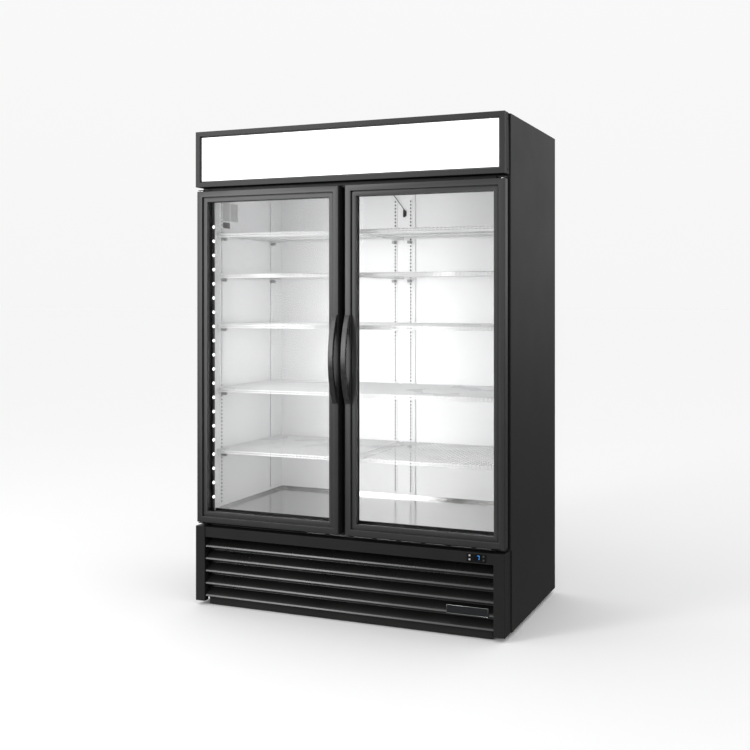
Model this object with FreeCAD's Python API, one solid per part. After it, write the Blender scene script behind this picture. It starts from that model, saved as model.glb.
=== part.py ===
"""Two-door, lit-sign glass door merchandiser: an upright chilled display cabinet.

Frame: +X to the right seen from the front, +Y to the back, +Z up, millimetres.
Origin: bottom centre of the whole object's box, on the floor.
Every sub-part is written to parts/NAME.step; a repeated small piece is one group of solids.
"""
import FreeCAD, Part
import math
import os

V = FreeCAD.Vector

# ---------------------------------------------------------------- driving dimensions
cabinet_width = 1375.0
cabinet_height = 2020.0
cabinet_depth = 791.0        # front of the sign to the back of the cabinet
handle_reach = 42.0          # how far the handles stand in front of the sign
front_inset = 4.0            # sign and base posts stand in from each cabinet side
panel_setback = 4.0          # face that the doors seal on to the side panels' front edge
foot_clearance = 18.0        # floor to the lower edge of the panels and posts
base_height = 336.0          # floor to the top of the grille and the cabinet's underside
sheet = 1.2                  # outer steel sheet
liner_sheet = 1.0            # inner liner sheet
liner_flange = 24.0          # turned out behind the front frame
side_wall = 50.5             # outer sheet, foam and liner at the sides
rear_wall = 91.0
floor_wall = 52.0
top_wall = 60.0
jamb_depth = 16.0            # thickness of the black front frame behind the doors
jamb_lip = 4.0               # the front frame stands outside the inner wall by this much
mullion_width = 78.0

door_floor_gap = 16.0        # cabinet's underside to the doors' lower edge
sign_door_gap = 18.0         # doors' upper edge to the sign
door_edge_inset = 6.5        # door edge to cabinet side, each side
door_gap = 30.0              # between the two doors
door_setback = 7.0           # front of the sign to the front of the doors
door_thickness = 45.0
frame_outer_band = 25.0      # the frame's flat outer band
frame_groove = 3.0
frame_inner_band = 18.0
inner_band_setback = 8.0
glass_setback = 20.0
pane = 4.0
glass_space = 14.0
gasket_depth = 13.5
seal_gap = 0.5               # gasket to the face that it seals on
groove_depth = 4.0           # floor of the frame's groove behind the inner band
glass_rebate = 11.0          # the frame overlaps the glass by this much
rebate_play = 1.0
spacer_width = 8.0
bead_taper = 3.0
gasket_width = 11.0
gasket_inset = 12.0

handle_length = 358.0
handle_width = 22.0
handle_thickness = 10.0
handle_lip = 8.0             # how far the handle's ends stand off the door
handle_foot = 30.0           # length of the foot at each end of the handle
handle_centre_height = 1062.0
handle_edge_inset = 13.0     # door's free edge to the handle's middle
handle_edge_round = 2.0

pin_radius = 4.0
pin_clearance = 0.05
pin_length = 20.0
pin_inset = 14.0             # door's outer edge to the hinge axis
pin_setback = 22.0           # front of the door to the hinge axis
hinge_plate = 3.0
hinge_plate_width = 26.0
hinge_leaf = 12.0
hinge_gap = 4.0              # door's edge to the hinge plate
hinge_step = 8.0             # header shield's setback round the hinge leaves
pin_hole_play = 2.0
collar_radius = 7.0
collar_gap = 0.3

sign_height = 236.0
sign_depth_top = 48.0        # the sign's side plates slope back from top to bottom
sign_depth_bottom = 65.0
sign_face_band = 19.5
sign_bevel_width = 6.0
sign_bevel_depth = 8.0
sign_panel_thickness = 3.0
sign_lip = 9.0               # frame behind the panel's edge
sign_rebate = 8.0            # panel edge under the frame
sign_frame_back = 5.0
sign_light_shares = (0.25, 0.5, 0.75)
sign_board_height = 20.0
sign_board_depth = 3.0
sign_tube = 8.0
sign_board_end = 40.0
sign_tube_end = 50.0
sign_board_gap = 6.0
sign_support = 24.0
sign_support_end = 20.0
sign_support_inset = 56.0
screw_radius = 3.2
screw_head = 1.4
screw_depth = 42.0           # front of the sign to the side screws
screw_low = 18.0
screw_high = 24.0

post_width = 44.5
post_overlap = 17.0          # the posts run back past the side panels' front edge
post_corner = 1.8
post_sheet = 2.0
post_inner_return = 30.0
band_height = 42.5
band_drop = 2.0              # top of the posts to the top of the band
band_setback = 3.0
louvre_count = 5
louvre_top_gap = 85.0        # top of the grille to the top blade's lip, at its middle
louvre_last = 41.4           # floor to the lowest blade's lip, at its middle
louvre_setback = 1.0         # band's front to the blades' front
louvre_lip = 9.0
louvre_sheet = 2.0
louvre_reach = 40.0
louvre_rise = 27.0
bracket_shares = (-0.999, -0.5, 0.0, 0.5, 0.999)
bracket_width = 12.0
bracket_gap = 2.0
bracket_above_band = 30.0
band_sheet = 2.0
band_return = 14.0
kick_side_gap = 59.5         # cabinet side to the kick rail's end
kick_setback = 25.0
kick_thickness = 30.0

control_width = 78.0
control_height = 34.0
control_side = 116.5         # cabinet side to the controller's middle
control_raise = 1.5
control_proud = 2.5
control_edge_round = 1.0
control_case_inset = 3.5
control_hole_inset = 3.0
control_case_depth = 48.0
display_shift = 4.0
display_sink = 0.1
display_depth = 1.0
display_play = 0.2
display_width = 34.0
display_height = 22.0
key_size = 6.5
key_travel = 0.8
key_proud = 1.2
key_clearance = 0.05
key_well = 8.0
key_stop = 0.4
key_left = 12.0
key_right = 10.0
key_rise = 7.5
plate_width = 168.0
plate_height = 34.0
plate_side = 153.5           # cabinet side to the name plate's middle
plate_thickness = 3.0
plate_rim = 3.0
plate_blade = 3              # the blade that carries it, counted down from 0
plate_lip_gap = 0.5
plate_well = 1.2
plate_face_sink = 0.5

column_width = 114.0
column_thickness = 10.0
pilaster_width = 18.0
pilaster_thickness = 3.0
pilaster_first = 133.0       # front of the sign to the front wall pilasters
pilaster_rear = 213.0        # rear wall pilasters to the cabinet's back
column_pilaster_spread = 38.0
mullion_pilaster_spread = 20.0
pilaster_top_gap = 20.0
pilaster_low_gap = 20.0
column_low_gap = 14.0
mullion_pilaster_drop = 20.0
shelf_shares = (0.2065, 0.3953, 0.5926, 0.7454, 0.8713)  # up the door, to each front edge
shelf_middle_gap = 9.5       # cabinet's middle to a shelf's end
shelf_rear_gap = 21.0        # shelf to the rear column
shelf_frame_gap = 34.0       # sealing face to the shelf's front edge
shelf_cross_shares = (0.0, 1 / 3, 2 / 3, 1.0)
shelf_band = 19.0
shelf_rod = 6.0
shelf_wire = 4.0
shelf_wire_pitch = 16.5
shelf_side_gap = 3.5
clip_length = 24.0
clip_height = 14.0
clip_thickness = 12.0
clip_column_extra = 6.0

led_count = 20
led_low_gap = 99.0           # doors' lower edge to the lowest lens
led_top_gap = 148.4          # doors' upper edge to the highest lens
led_radius = 6.0
led_proud = 3.0
led_channel = 2.0
led_forward = 2.0            # lenses sit forward of the jamb's middle

probe_right = 8.0
probe_drop = 319.0           # cabinet's top to the probe's middle
probe_radius = 5.0
probe_length = 34.0
probe_stand = 9.0
probe_clip_width = 16.0
probe_clip_height = 24.0
probe_clip_depth = 3.0
probe_lead_radius = 1.5
probe_lead_shift = 52.0      # the lead leans left by this much on its way up
grommet_radius = 5.0
grommet_height = 4.0
data_plate = 0.5
data_plates = ((146.0, 206.0, 140.0, 44.0), (212.0, 276.0, 140.0, 60.0),
               (146.0, 206.0, 172.0, 146.0))   # depths, then drops below the plenum's floor

plenum_height = 230.0        # cabinet's top to the plenum's floor
plenum_front = 130.0
plenum_side_gap = 18.0
plenum_rear_gap = 1.0
plenum_sheet = 1.5
air_fan_setback = 140.0      # plenum's front to the fans' axes
air_fan_rise = 24.0          # plenum's floor to the fans' middle
coil_fan_gap = 60.0
coil_rear_gap = 40.0
coil_fin_end = 80.0
coil_tube_end = 70.0
coil_fin_gap = 30.0
coil_rows = 3
coil_tube_radius = 5.0
coil_tube_first = 30.0
coil_tube_row = 60.0
coil_tube_low = 50.0
coil_tube_rise = 36.0
fin_thickness = 2.0
motor_bar_width = 20.0
motor_bar_thickness = 3.0
guard_wire = 3.0
guard_margin = 5.0
guard_shares = (0.3, 0.53, 0.76, 1.0)
inner_fan_radius = 72.0
inner_fan_spread = 300.0
fan_tip_gap = 6.0
fan_blades = 5
inner_fan_blades = 4
blade_chord = 0.62           # share of the wheel's radius
blade_pitch = 26.0           # degrees
blade_sheet = 2.0
blade_root = 4.0
outer_fan_radius = 105.0
hub_radius = 24.0
hub_length = 26.0
shaft_radius = 4.0
motor_radius = 34.0
motor_length = 55.0
motor_gap = 6.0              # hub to motor

deck_height = 40.0
deck_sheet = 2.0
rail_width = 40.0
rail_lift = 2.0
base_rear_gap = 30.0
upright_size = 30.0
upright_front = 100.0
upright_rear_gap = 10.0
foot_radius = 18.0
foot_height = 8.0
foot_stem_radius = 6.0
foot_front = 110.0
foot_rail_gap = 30.0
foot_side_gap = 85.0
rear_grille_side_gap = 1.0
rear_grille_low = 42.0
rear_grille_top_gap = 1.0
rear_grille_setback = 1.0
slot_rows = 6
slot_columns = 9
slot_length = 100.0
slot_height = 9.0
slot_gap = 24.0
slot_rise = 30.0
slot_low = 60.0
slot_inlet_gap = 8.0
inlet_size = 70.0
inlet_side = 187.5           # cabinet side to the inlet's left edge
inlet_drop = 116.0           # cabinet's underside to the inlet's lower edge
inlet_wall = 2.0
inlet_play = 0.5
inlet_depth = 46.0
gland_nut_radius = 12.0
gland_nut_length = 8.0
gland_dome_radius = 11.0
gland_tip_radius = 8.0
gland_dome_length = 16.0
condenser_left = -420.0
condenser_width = 440.0
condenser_height = 230.0
condenser_depth = 60.0
condenser_front = 115.0
condenser_lift = 6.0
condenser_rows = 2
condenser_lines = 6
condenser_tube_radius = 4.5
condenser_tube_first = 18.0
condenser_tube_row = 24.0
condenser_tube_low = 22.0
condenser_tube_rise = 37.0
condenser_fin_first = 11.0
condenser_fin_end = 4.0
end_plate = 2.0
fin_count = 22
shroud_sheet = 2.0
shroud_ring = 46.0
shroud_fan_shift = 4.0       # the wheel sits behind the ring's middle
shroud_motor_extra = 6.0
shroud_motor_length = 70.0
stand_width = 40.0
stand_thickness = 4.0
stand_setback = 20.0
gland_bore = 5.0
compressor_radius = 82.0
compressor_height = 190.0
compressor_right = 330.0
compressor_depth = 430.0
compressor_dome = 0.35       # share of the shell's radius that the dome takes
compressor_foot_x = 100.0
compressor_foot_y = 70.0
compressor_foot_sheet = 3.0
mount_radius = 12.0
mount_height = 12.0
mount_x = 84.0
mount_y = 54.0
terminal_overlap = 12.0
terminal_reach = 34.0
terminal_half_width = 28.0
terminal_low = 40.0
terminal_high = 110.0
pan_left = -560.0
pan_width = 460.0
pan_front = 430.0
pan_depth = 220.0
pan_height = 50.0
pan_wall = 2.0
pan_lip = 12.0               # turned-up edge of the inner floor pan
pan_play = 1.0

# ---------------------------------------------------------------- derived places
face_depth = door_setback + door_thickness + gasket_depth + seal_gap
side_panel_start = face_depth + panel_setback
post_return = side_panel_start + post_overlap
door_bottom = base_height + door_floor_gap
door_top = cabinet_height - sign_height - sign_door_gap
front_y = (handle_reach - cabinet_depth) / 2     # the sign's front plane
back_y = front_y + cabinet_depth
half_width = cabinet_width / 2
half_front = half_width - front_inset
face_y = front_y + face_depth
panel_y = front_y + side_panel_start
inside_x = half_width - side_wall
inside_back = back_y - rear_wall
inside_floor = base_height + floor_wall
inside_ceiling = cabinet_height - top_wall
jamb_x = inside_x + jamb_lip
jamb_back = face_y + jamb_depth
sign_bottom = cabinet_height - sign_height
door_y = front_y + door_setback
door_back = door_y + door_thickness
door_outer_x = half_width - door_edge_inset
door_inner_x = door_gap / 2
frame_width = frame_outer_band + frame_groove + frame_inner_band
glass_inset = frame_width - glass_rebate
hinge_x = door_outer_x - pin_inset
hinge_y = door_y + pin_setback
column_y = inside_back - column_thickness
shelf_front_y = face_y + shelf_frame_gap
shelf_back_y = column_y - shelf_rear_gap
shelf_depth = shelf_back_y - shelf_front_y
shelf_width = inside_x - shelf_side_gap - shelf_middle_gap
shelf_heights = [door_bottom + share * (door_top - door_bottom) for share in shelf_shares]
pilaster_second = cabinet_depth - pilaster_rear
led_first = door_bottom + led_low_gap
led_pitch = (door_top - led_top_gap - led_first) / (led_count - 1)
louvre_first = base_height - louvre_top_gap
louvre_pitch = (louvre_first - louvre_last) / (louvre_count - 1)
kick_width = cabinet_width - 2 * kick_side_gap
control_centre = half_width - control_side
plate_centre = half_width - plate_side
plenum_floor_height = cabinet_height - plenum_height


# ---------------------------------------------------------------- small helpers
def at(depth):
    """Y of a plane this far behind the sign's front."""
    return front_y + depth


def block(x0, x1, y0, y1, z0, z1):
    """A box from its two corners, given in any order along X."""
    low_x = min(x0, x1)
    return Part.makeBox(abs(x1 - x0), y1 - y0, z1 - z0, V(low_x, y0, z0))


def rod(radius, length, start, direction):
    return Part.makeCylinder(radius, length, start, direction)


def prism(points, push):
    """A flat outline swept along a straight push."""
    wire = Part.makePolygon(points + [points[0]])
    return Part.Face(wire).extrude(push)


def bar_between(first, second):
    """A straight bar whose two ends are matching outlines, such as mitred ends."""
    count = len(first)
    faces = []
    for i in range(count):
        j = (i + 1) % count
        side = [first[i], first[j], second[j], second[i], first[i]]
        faces.append(Part.Face(Part.makePolygon(side)))
    for outline in (first, second):
        faces.append(Part.Face(Part.makePolygon(outline + [outline[0]])))
    solid = Part.Solid(Part.Shell(faces))
    if solid.Volume < 0:
        solid.reverse()
    return solid


def mitred_frame(x0, x1, z0, z1, start_y, profile):
    """Four mitred bars round a rectangle; profile points are (inset, depth)."""
    def corner(x, z, step_x, step_z):
        return [V(x + step_x * inset, start_y + depth, z + step_z * inset)
                for inset, depth in profile]
    corners = [corner(x0, z0, 1, 1), corner(x1, z0, -1, 1),
               corner(x1, z1, -1, -1), corner(x0, z1, 1, -1)]
    return [bar_between(corners[i], corners[(i + 1) % 4]) for i in range(4)]


def mirrored(shape):
    return shape.mirror(V(0, 0, 0), V(1, 0, 0))


def both_sides(shape):
    return [shape, mirrored(shape)]


def save(name, *solids):
    """Write one node: a single solid, or a group of separate solids."""
    flat = []
    for item in solids:
        flat.extend(item if isinstance(item, list) else [item])
    shape = flat[0] if len(flat) == 1 else Part.makeCompound(flat)
    shape.exportStep("parts/" + name + ".step")


# ---------------------------------------------------------------- cabinet shell
def side_panel():
    """Right-hand outer panel: full height, notched below for the base post's return."""
    outer = half_width
    inner = half_width - sheet
    post_back = at(post_return)
    upper = block(inner, outer, panel_y, back_y, base_height, cabinet_height)
    lower = block(inner, outer, post_back, back_y, foot_clearance, base_height)
    return upper.fuse(lower).removeSplitter()


def shell_panels():
    right = side_panel()
    save("right_side_panel", right)
    save("left_side_panel", mirrored(right))
    inner = half_width - sheet
    rear = block(-inner, inner, back_y - sheet, back_y, base_height, cabinet_height - sheet)
    top = block(-inner, inner, panel_y, back_y, cabinet_height - sheet, cabinet_height)
    underside = block(-inner, inner, jamb_back, back_y - sheet, base_height, base_height + sheet)
    save("outer_panels", rear, top, underside)


def foam():
    """Foam fills the walls between the outer sheets and the liner."""
    outer_x = half_width - sheet
    liner_x = inside_x + liner_sheet
    outer_back = back_y - sheet
    liner_back = inside_back + liner_sheet
    top = cabinet_height - sheet
    front = jamb_back + liner_sheet
    side = block(liner_x, outer_x, front, outer_back, base_height + sheet, top)
    rear = block(-liner_x, liner_x, liner_back, outer_back, base_height + sheet, top)
    lid = block(-liner_x, liner_x, front, liner_back, inside_ceiling + liner_sheet, top)
    floor = block(-liner_x, liner_x, front, liner_back,
                  base_height + sheet, inside_floor - liner_sheet)
    save("foam_insulation", both_sides(side), rear, lid, floor)


def liner():
    """White inner sheets; flanges behind the front frame cover the foam's front edges."""
    low = inside_floor - liner_sheet
    high = inside_ceiling + liner_sheet
    edge = inside_x + liner_sheet
    front = jamb_back + liner_sheet
    side = block(inside_x, inside_x + liner_sheet, jamb_back, inside_back + liner_sheet, low, high)
    side_flange = block(edge, edge + liner_flange, jamb_back, front, low, high)
    corner = edge + liner_flange
    floor_flange = block(-corner, corner, jamb_back, front, low - liner_flange, low)
    lid_flange = block(-edge, edge, jamb_back, front, high, high + liner_flange)
    rear = block(-inside_x, inside_x, inside_back, inside_back + liner_sheet, low, high)
    ceiling = block(-inside_x, inside_x, jamb_back, inside_back, inside_ceiling, high)
    save("wall_liners", both_sides(side), both_sides(side_flange), floor_flange, lid_flange,
         rear, ceiling)


def floor_pan():
    """A shallow steel tray with turned-up edges on the cabinet's floor."""
    lip = pan_lip
    x1 = inside_x - pan_play
    y0 = jamb_back + pan_play
    y1 = inside_back - pan_play
    z0 = inside_floor - liner_sheet
    z1 = inside_floor + liner_sheet
    side_lip = block(x1 - liner_sheet, x1, y0, y1, z1, z1 + lip)
    front_lip = block(-x1 + liner_sheet, x1 - liner_sheet, y0, y0 + liner_sheet, z1, z1 + lip)
    rear_lip = block(-x1 + liner_sheet, x1 - liner_sheet, y1 - liner_sheet, y1, z1, z1 + lip)
    save("floor_pan", block(-x1, x1, y0, y1, z0, z1), both_sides(side_lip), front_lip, rear_lip)


def front_frame():
    """Black frame that the doors seal on: two jambs, header, sill, and the mullion."""
    outer = half_width - sheet
    door_rim = gasket_inset + gasket_width
    header_low = door_top - door_rim - 1
    sill_high = door_bottom + door_rim + 1
    top = cabinet_height - sheet
    jamb = block(jamb_x, outer, face_y, jamb_back, base_height, sign_bottom)
    fascia = block(-outer, outer, at(side_panel_start), jamb_back, sign_bottom, top)
    header = block(-jamb_x, jamb_x, face_y, jamb_back, header_low, sign_bottom)
    sill = block(-jamb_x, jamb_x, face_y, jamb_back, base_height, sill_high)
    shield = block(-jamb_x + hinge_step, jamb_x - hinge_step, face_y - hinge_step, face_y,
                   door_top + hinge_gap + 1, sign_bottom - hinge_gap)
    save("front_frame", both_sides(jamb), fascia, header, sill, shield)
    save("centre_mullion", block(-mullion_width / 2, mullion_width / 2, face_y, jamb_back,
                                 sill_high, header_low))


# ---------------------------------------------------------------- inside fittings
def fittings():
    low = inside_floor + pilaster_low_gap
    high = plenum_floor_height - pilaster_top_gap
    half = pilaster_width / 2
    column = block(-column_width / 2, column_width / 2, column_y, inside_back,
                   inside_floor + column_low_gap, plenum_floor_height)
    save("rear_column", column)
    wall = []
    for depth in (pilaster_first, pilaster_second):
        wall += both_sides(block(inside_x - pilaster_thickness, inside_x,
                                 at(depth) - half, at(depth) + half, low, high))
    rear = both_sides(block(column_pilaster_spread - half, column_pilaster_spread + half,
                            column_y - pilaster_thickness, column_y, low, high))
    middle = both_sides(block(mullion_pilaster_spread - half, mullion_pilaster_spread + half,
                              jamb_back, jamb_back + pilaster_thickness, low,
                              high - mullion_pilaster_drop))
    save("shelf_pilasters", wall, rear, middle)


def shelf_clips():
    """One small hook under each corner of every shelf."""
    clips = []
    wall_face = inside_x - pilaster_thickness
    rear_face = column_y - pilaster_thickness
    front_face = jamb_back + pilaster_thickness
    half = clip_thickness / 2
    for height in shelf_heights:
        top = height - shelf_band / 2
        low = top - clip_height
        for depth in (pilaster_first, pilaster_second):
            clips += both_sides(block(wall_face - clip_length, wall_face,
                                      at(depth) - half, at(depth) + half, low, top))
        for face, spread, forward in ((rear_face, column_pilaster_spread, True),
                                      (front_face, mullion_pilaster_spread, False)):
            y0 = face - clip_length - clip_column_extra if forward else face
            y1 = face if forward else face + clip_length
            clips += both_sides(block(spread - half, spread + half, y0, y1, low, top))
    save("shelf_clips", clips)


def shelf(height):
    """Right-hand wire shelf: front rods, side rails, cross rods and the wires over them."""
    x1 = inside_x - shelf_side_gap
    x0 = x1 - shelf_width
    low = height - shelf_band / 2
    top = height + shelf_band / 2
    rail_low = top - shelf_wire - shelf_rod
    y0 = shelf_front_y
    y1 = shelf_back_y
    rails = [block(x0, x0 + shelf_rod, y0, y1, low, top - shelf_wire),
             block(x1 - shelf_rod, x1, y0, y1, low, top - shelf_wire),
             block(x0, x1, y0, y0 + shelf_rod, low, low + shelf_rod)]
    for share in shelf_cross_shares:
        y = y0 + share * (shelf_depth - shelf_rod)
        rails.append(block(x0, x1, y, y + shelf_rod, rail_low, top - shelf_wire))
    body = rails[0].multiFuse(rails[1:])
    wires = []
    gaps = round((shelf_width - shelf_wire) / shelf_wire_pitch)
    step = (shelf_width - shelf_wire) / gaps
    for i in range(gaps + 1):
        x = x0 + i * step
        wires.append(block(x, x + shelf_wire, y0, y1, top - shelf_wire, top))
        wires.append(block(x, x + shelf_wire, y0, y0 + shelf_wire, low, top - shelf_wire))
    return body.multiFuse(wires).removeSplitter()


def shelves():
    first = shelf(shelf_heights[0])
    for number, height in enumerate(shelf_heights, start=1):
        right = first.copy()
        right.translate(V(0, 0, height - shelf_heights[0]))
        save("shelf_pair_%d" % number, both_sides(right))


def lights():
    """Light strips on the jambs and on both faces of the mullion."""
    low = led_first - led_pitch
    high = led_first + led_count * led_pitch
    channels = []
    lenses = []
    y0 = face_y
    y1 = jamb_back
    middle = (y0 + y1) / 2 - led_forward
    for wall_x, inward in ((jamb_x, -1), (mullion_width / 2, 1)):
        channel_x = wall_x + inward * led_channel
        channels += both_sides(block(wall_x, channel_x, y0, y1, low, high))
        for i in range(led_count):
            centre = V(channel_x, middle, led_first + i * led_pitch)
            lens = rod(led_radius, led_proud, centre, V(inward, 0, 0))
            lenses += both_sides(lens)
    save("light_channels", channels)
    save("light_lenses", lenses)


def probe():
    """Air sensor clipped to the rear column, its lead rising to a grommet in the plenum."""
    x = probe_right
    z = cabinet_height - probe_drop
    half = probe_clip_width / 2
    rise = probe_clip_height / 2
    body = rod(probe_radius, probe_length, V(x, column_y - probe_stand, z - probe_length / 2),
               V(0, 0, 1))
    clip = block(x - half, x + half, column_y - probe_clip_depth, column_y, z - rise, z + rise)
    start = V(x, column_y - probe_stand, z + probe_length / 2)
    end = V(x - probe_lead_shift, start.y, plenum_floor_height - grommet_height / 2)
    run = end - start
    lead = rod(probe_lead_radius, run.Length, start, run)
    grommet = rod(grommet_radius, grommet_height,
                  V(end.x, end.y, plenum_floor_height - grommet_height), V(0, 0, 1))
    save("air_probe", body.multiFuse([lead, grommet]), clip)


def wall_plates():
    """Blank data plates on the left-hand inner wall."""
    plates = []
    for near, far, low_drop, high_drop in data_plates:
        plates.append(block(-inside_x, -inside_x + data_plate, at(near), at(far),
                            plenum_floor_height - low_drop, plenum_floor_height - high_drop))
    save("wall_plates", plates)


# ---------------------------------------------------------------- cooling unit at the top
def fan_wheel(radius, count):
    """Hub and flat pitched blades round +Z, middle of the hub at the origin."""
    blade_length = radius - hub_radius + blade_root
    blade_width = radius * blade_chord
    wheel = rod(hub_radius, hub_length, V(0, 0, -hub_length / 2), V(0, 0, 1))
    for i in range(count):
        blade = Part.makeBox(blade_length, blade_width, blade_sheet,
                             V(hub_radius - blade_root, -blade_width / 2, -blade_sheet / 2))
        blade.rotate(V(0, 0, 0), V(1, 0, 0), blade_pitch)
        blade.rotate(V(0, 0, 0), V(0, 0, 1), i * 360.0 / count)
        wheel = wheel.fuse(blade)
    rim = rod(radius, 2 * radius, V(0, 0, -radius), V(0, 0, 1))
    wheel = wheel.common(rim)
    bore = rod(shaft_radius + pin_clearance, hub_length, V(0, 0, -hub_length / 2), V(0, 0, 1))
    return wheel.cut(bore)


def cooling_housing(x1, y0, y1, fan_y):
    """Five sheet panels under the ceiling; the floor panel has a hole for each fan."""
    z0 = plenum_floor_height
    z1 = inside_ceiling
    sheet_in = plenum_sheet
    floor = block(-x1, x1, y0, y1, z0, z0 + sheet_in)
    for side in (-1, 1):
        floor = floor.cut(rod(inner_fan_radius + fan_tip_gap, 2 * sheet_in,
                              V(side * inner_fan_spread, fan_y, z0), V(0, 0, 1)))
    front = block(-x1, x1, y0, y0 + sheet_in, z0 + sheet_in, z1)
    rear = block(-x1, x1, y1 - sheet_in, y1, z0 + sheet_in, z1)
    end = block(x1 - sheet_in, x1, y0 + sheet_in, y1 - sheet_in, z0 + sheet_in, z1)
    save("cooling_housing", floor, front, rear, both_sides(end))


def cooling_coil(x1, y0, y1):
    z0 = plenum_floor_height
    fins = []
    pitch = 2 * (x1 - coil_fin_end) / (2 * fin_count)
    for i in range(2 * fin_count + 1):
        x = -x1 + coil_fin_end + i * pitch
        fins.append(block(x, x + fin_thickness, y0, y1, z0 + coil_fin_gap,
                          inside_ceiling - coil_fin_gap))
    tubes = []
    for row in range(coil_rows):
        for line in range(coil_rows):
            start = V(-x1 + coil_tube_end, y0 + coil_tube_first + row * coil_tube_row,
                      z0 + coil_tube_low + line * coil_tube_rise)
            tubes.append(rod(coil_tube_radius, 2 * (x1 - coil_tube_end), start, V(1, 0, 0)))
    save("cooling_coil", tubes[0].multiFuse(tubes[1:] + fins))


def cooling_unit():
    x1 = inside_x - plenum_side_gap
    y0 = at(plenum_front)
    y1 = inside_back - plenum_rear_gap
    z0 = plenum_floor_height
    fan_y = y0 + air_fan_setback
    fan_z = z0 + air_fan_rise
    cooling_housing(x1, y0, y1, fan_y)
    cooling_coil(x1, fan_y + inner_fan_radius + coil_fan_gap, y1 - coil_rear_gap)

    motors = []
    guards = []
    half_bar = motor_bar_width / 2
    for side, name in ((-1, "left_air_fan"), (1, "right_air_fan")):
        centre = V(side * inner_fan_spread, fan_y, fan_z)
        wheel = fan_wheel(inner_fan_radius, inner_fan_blades)
        wheel.translate(centre)
        save(name, wheel)
        base_z = fan_z + hub_length / 2 + motor_gap
        body = rod(motor_radius, motor_length, V(centre.x, fan_y, base_z), V(0, 0, 1))
        shaft = rod(shaft_radius, hub_length + motor_gap,
                    V(centre.x, fan_y, fan_z - hub_length / 2), V(0, 0, 1))
        bar_low = base_z + motor_length
        bar = block(centre.x - half_bar, centre.x + half_bar, y0 + plenum_sheet,
                    fan_y + motor_radius, bar_low, bar_low + motor_bar_thickness)
        motors += [body.fuse(shaft), bar]
        guards += fan_guard(V(centre.x, fan_y, z0), inner_fan_radius)
    save("air_fan_motors", motors, guards)


def fan_guard(centre, radius):
    """Concentric rings joined by four spokes, lying flat in X and Y below the centre."""
    wire = guard_wire
    low = centre - V(0, 0, wire)
    up = V(0, 0, 1)
    rings = []
    outer = radius + fan_tip_gap + guard_margin
    for share in guard_shares:
        ring = rod(outer * share, wire, low, up)
        rings.append(ring.cut(rod(outer * share - wire, wire, low, up)))
    reach = outer - wire / 2
    for turn in range(2):
        spoke = block(centre.x - reach, centre.x + reach, centre.y - wire / 2,
                      centre.y + wire / 2, low.z, centre.z)
        spoke.rotate(centre, V(0, 0, 1), 90.0 * turn)
        rings.append(spoke)
    return [rings[0].multiFuse(rings[1:])]


# ---------------------------------------------------------------- sign
def sign():
    x1 = half_front
    z0 = sign_bottom
    z1 = cabinet_height
    band = sign_face_band
    full = band + sign_bevel_width
    step = sign_bevel_depth + 1.0
    shell = sign_bevel_depth + sign_frame_back
    profile = [(0, 0), (band, 0), (full, sign_bevel_depth), (full, step),
               (full - sign_lip, step), (full - sign_lip, shell), (0, shell)]
    save("sign_frame", mitred_frame(-x1, x1, z0, z1, front_y, profile))
    inset = full - sign_rebate
    panel_y0 = front_y + step
    save("sign_panel", block(-x1 + inset, x1 - inset, panel_y0,
                             panel_y0 + sign_panel_thickness, z0 + inset, z1 - inset))
    sign_housing(x1, z0, z1, front_y + shell)
    sign_lights(x1, z0, z1)


def sign_housing(x1, z0, z1, shell_y):
    """Sloping side plates, roof, underside and back, with two screws in each side."""
    slope = [V(x1 - sheet, shell_y, z0), V(x1 - sheet, at(sign_depth_bottom), z0),
             V(x1 - sheet, at(sign_depth_top), z1), V(x1 - sheet, shell_y, z1)]
    side = prism(slope, V(sheet, 0, 0))
    roof = block(-x1 + sheet, x1 - sheet, shell_y, at(side_panel_start), z1 - sheet, z1)
    under = block(-x1 + sheet, x1 - sheet, shell_y, at(sign_depth_bottom), z0, z0 + sheet)
    back = block(-x1 + sheet, x1 - sheet, at(sign_depth_bottom), at(side_panel_start),
                 z0, z1 - sheet)
    screws = []
    for z in (z0 + screw_low, z1 - screw_high):
        screws += both_sides(rod(screw_radius, screw_head, V(x1, at(screw_depth), z), V(1, 0, 0)))
    save("sign_housing", both_sides(side), roof, under, back, screws)


def sign_lights(x1, z0, z1):
    """Three boards of lamps behind the panel, on three upright supports."""
    boards = []
    tubes = []
    y = at(sign_depth_top) - sign_board_gap
    for share in sign_light_shares:
        z = z0 + share * sign_height
        boards.append(block(-x1 + sign_board_end, x1 - sign_board_end, y, y + sign_board_depth,
                            z - sign_board_height / 2, z + sign_board_height / 2))
        tubes.append(block(-x1 + sign_tube_end, x1 - sign_tube_end, y - sign_tube / 2, y,
                           z - sign_tube / 2, z + sign_tube / 2))
    half = sign_support / 2
    y0 = y + sign_board_depth
    low = z0 + sign_support_end
    high = z1 - sign_support_end
    right = x1 - sign_support_inset
    middle = block(-half, half, y0, at(sign_depth_bottom), low, high)
    end = block(right - sign_support, right, y0, at(sign_depth_bottom), low, high)
    save("sign_lights", tubes, boards, middle, both_sides(end))


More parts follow.
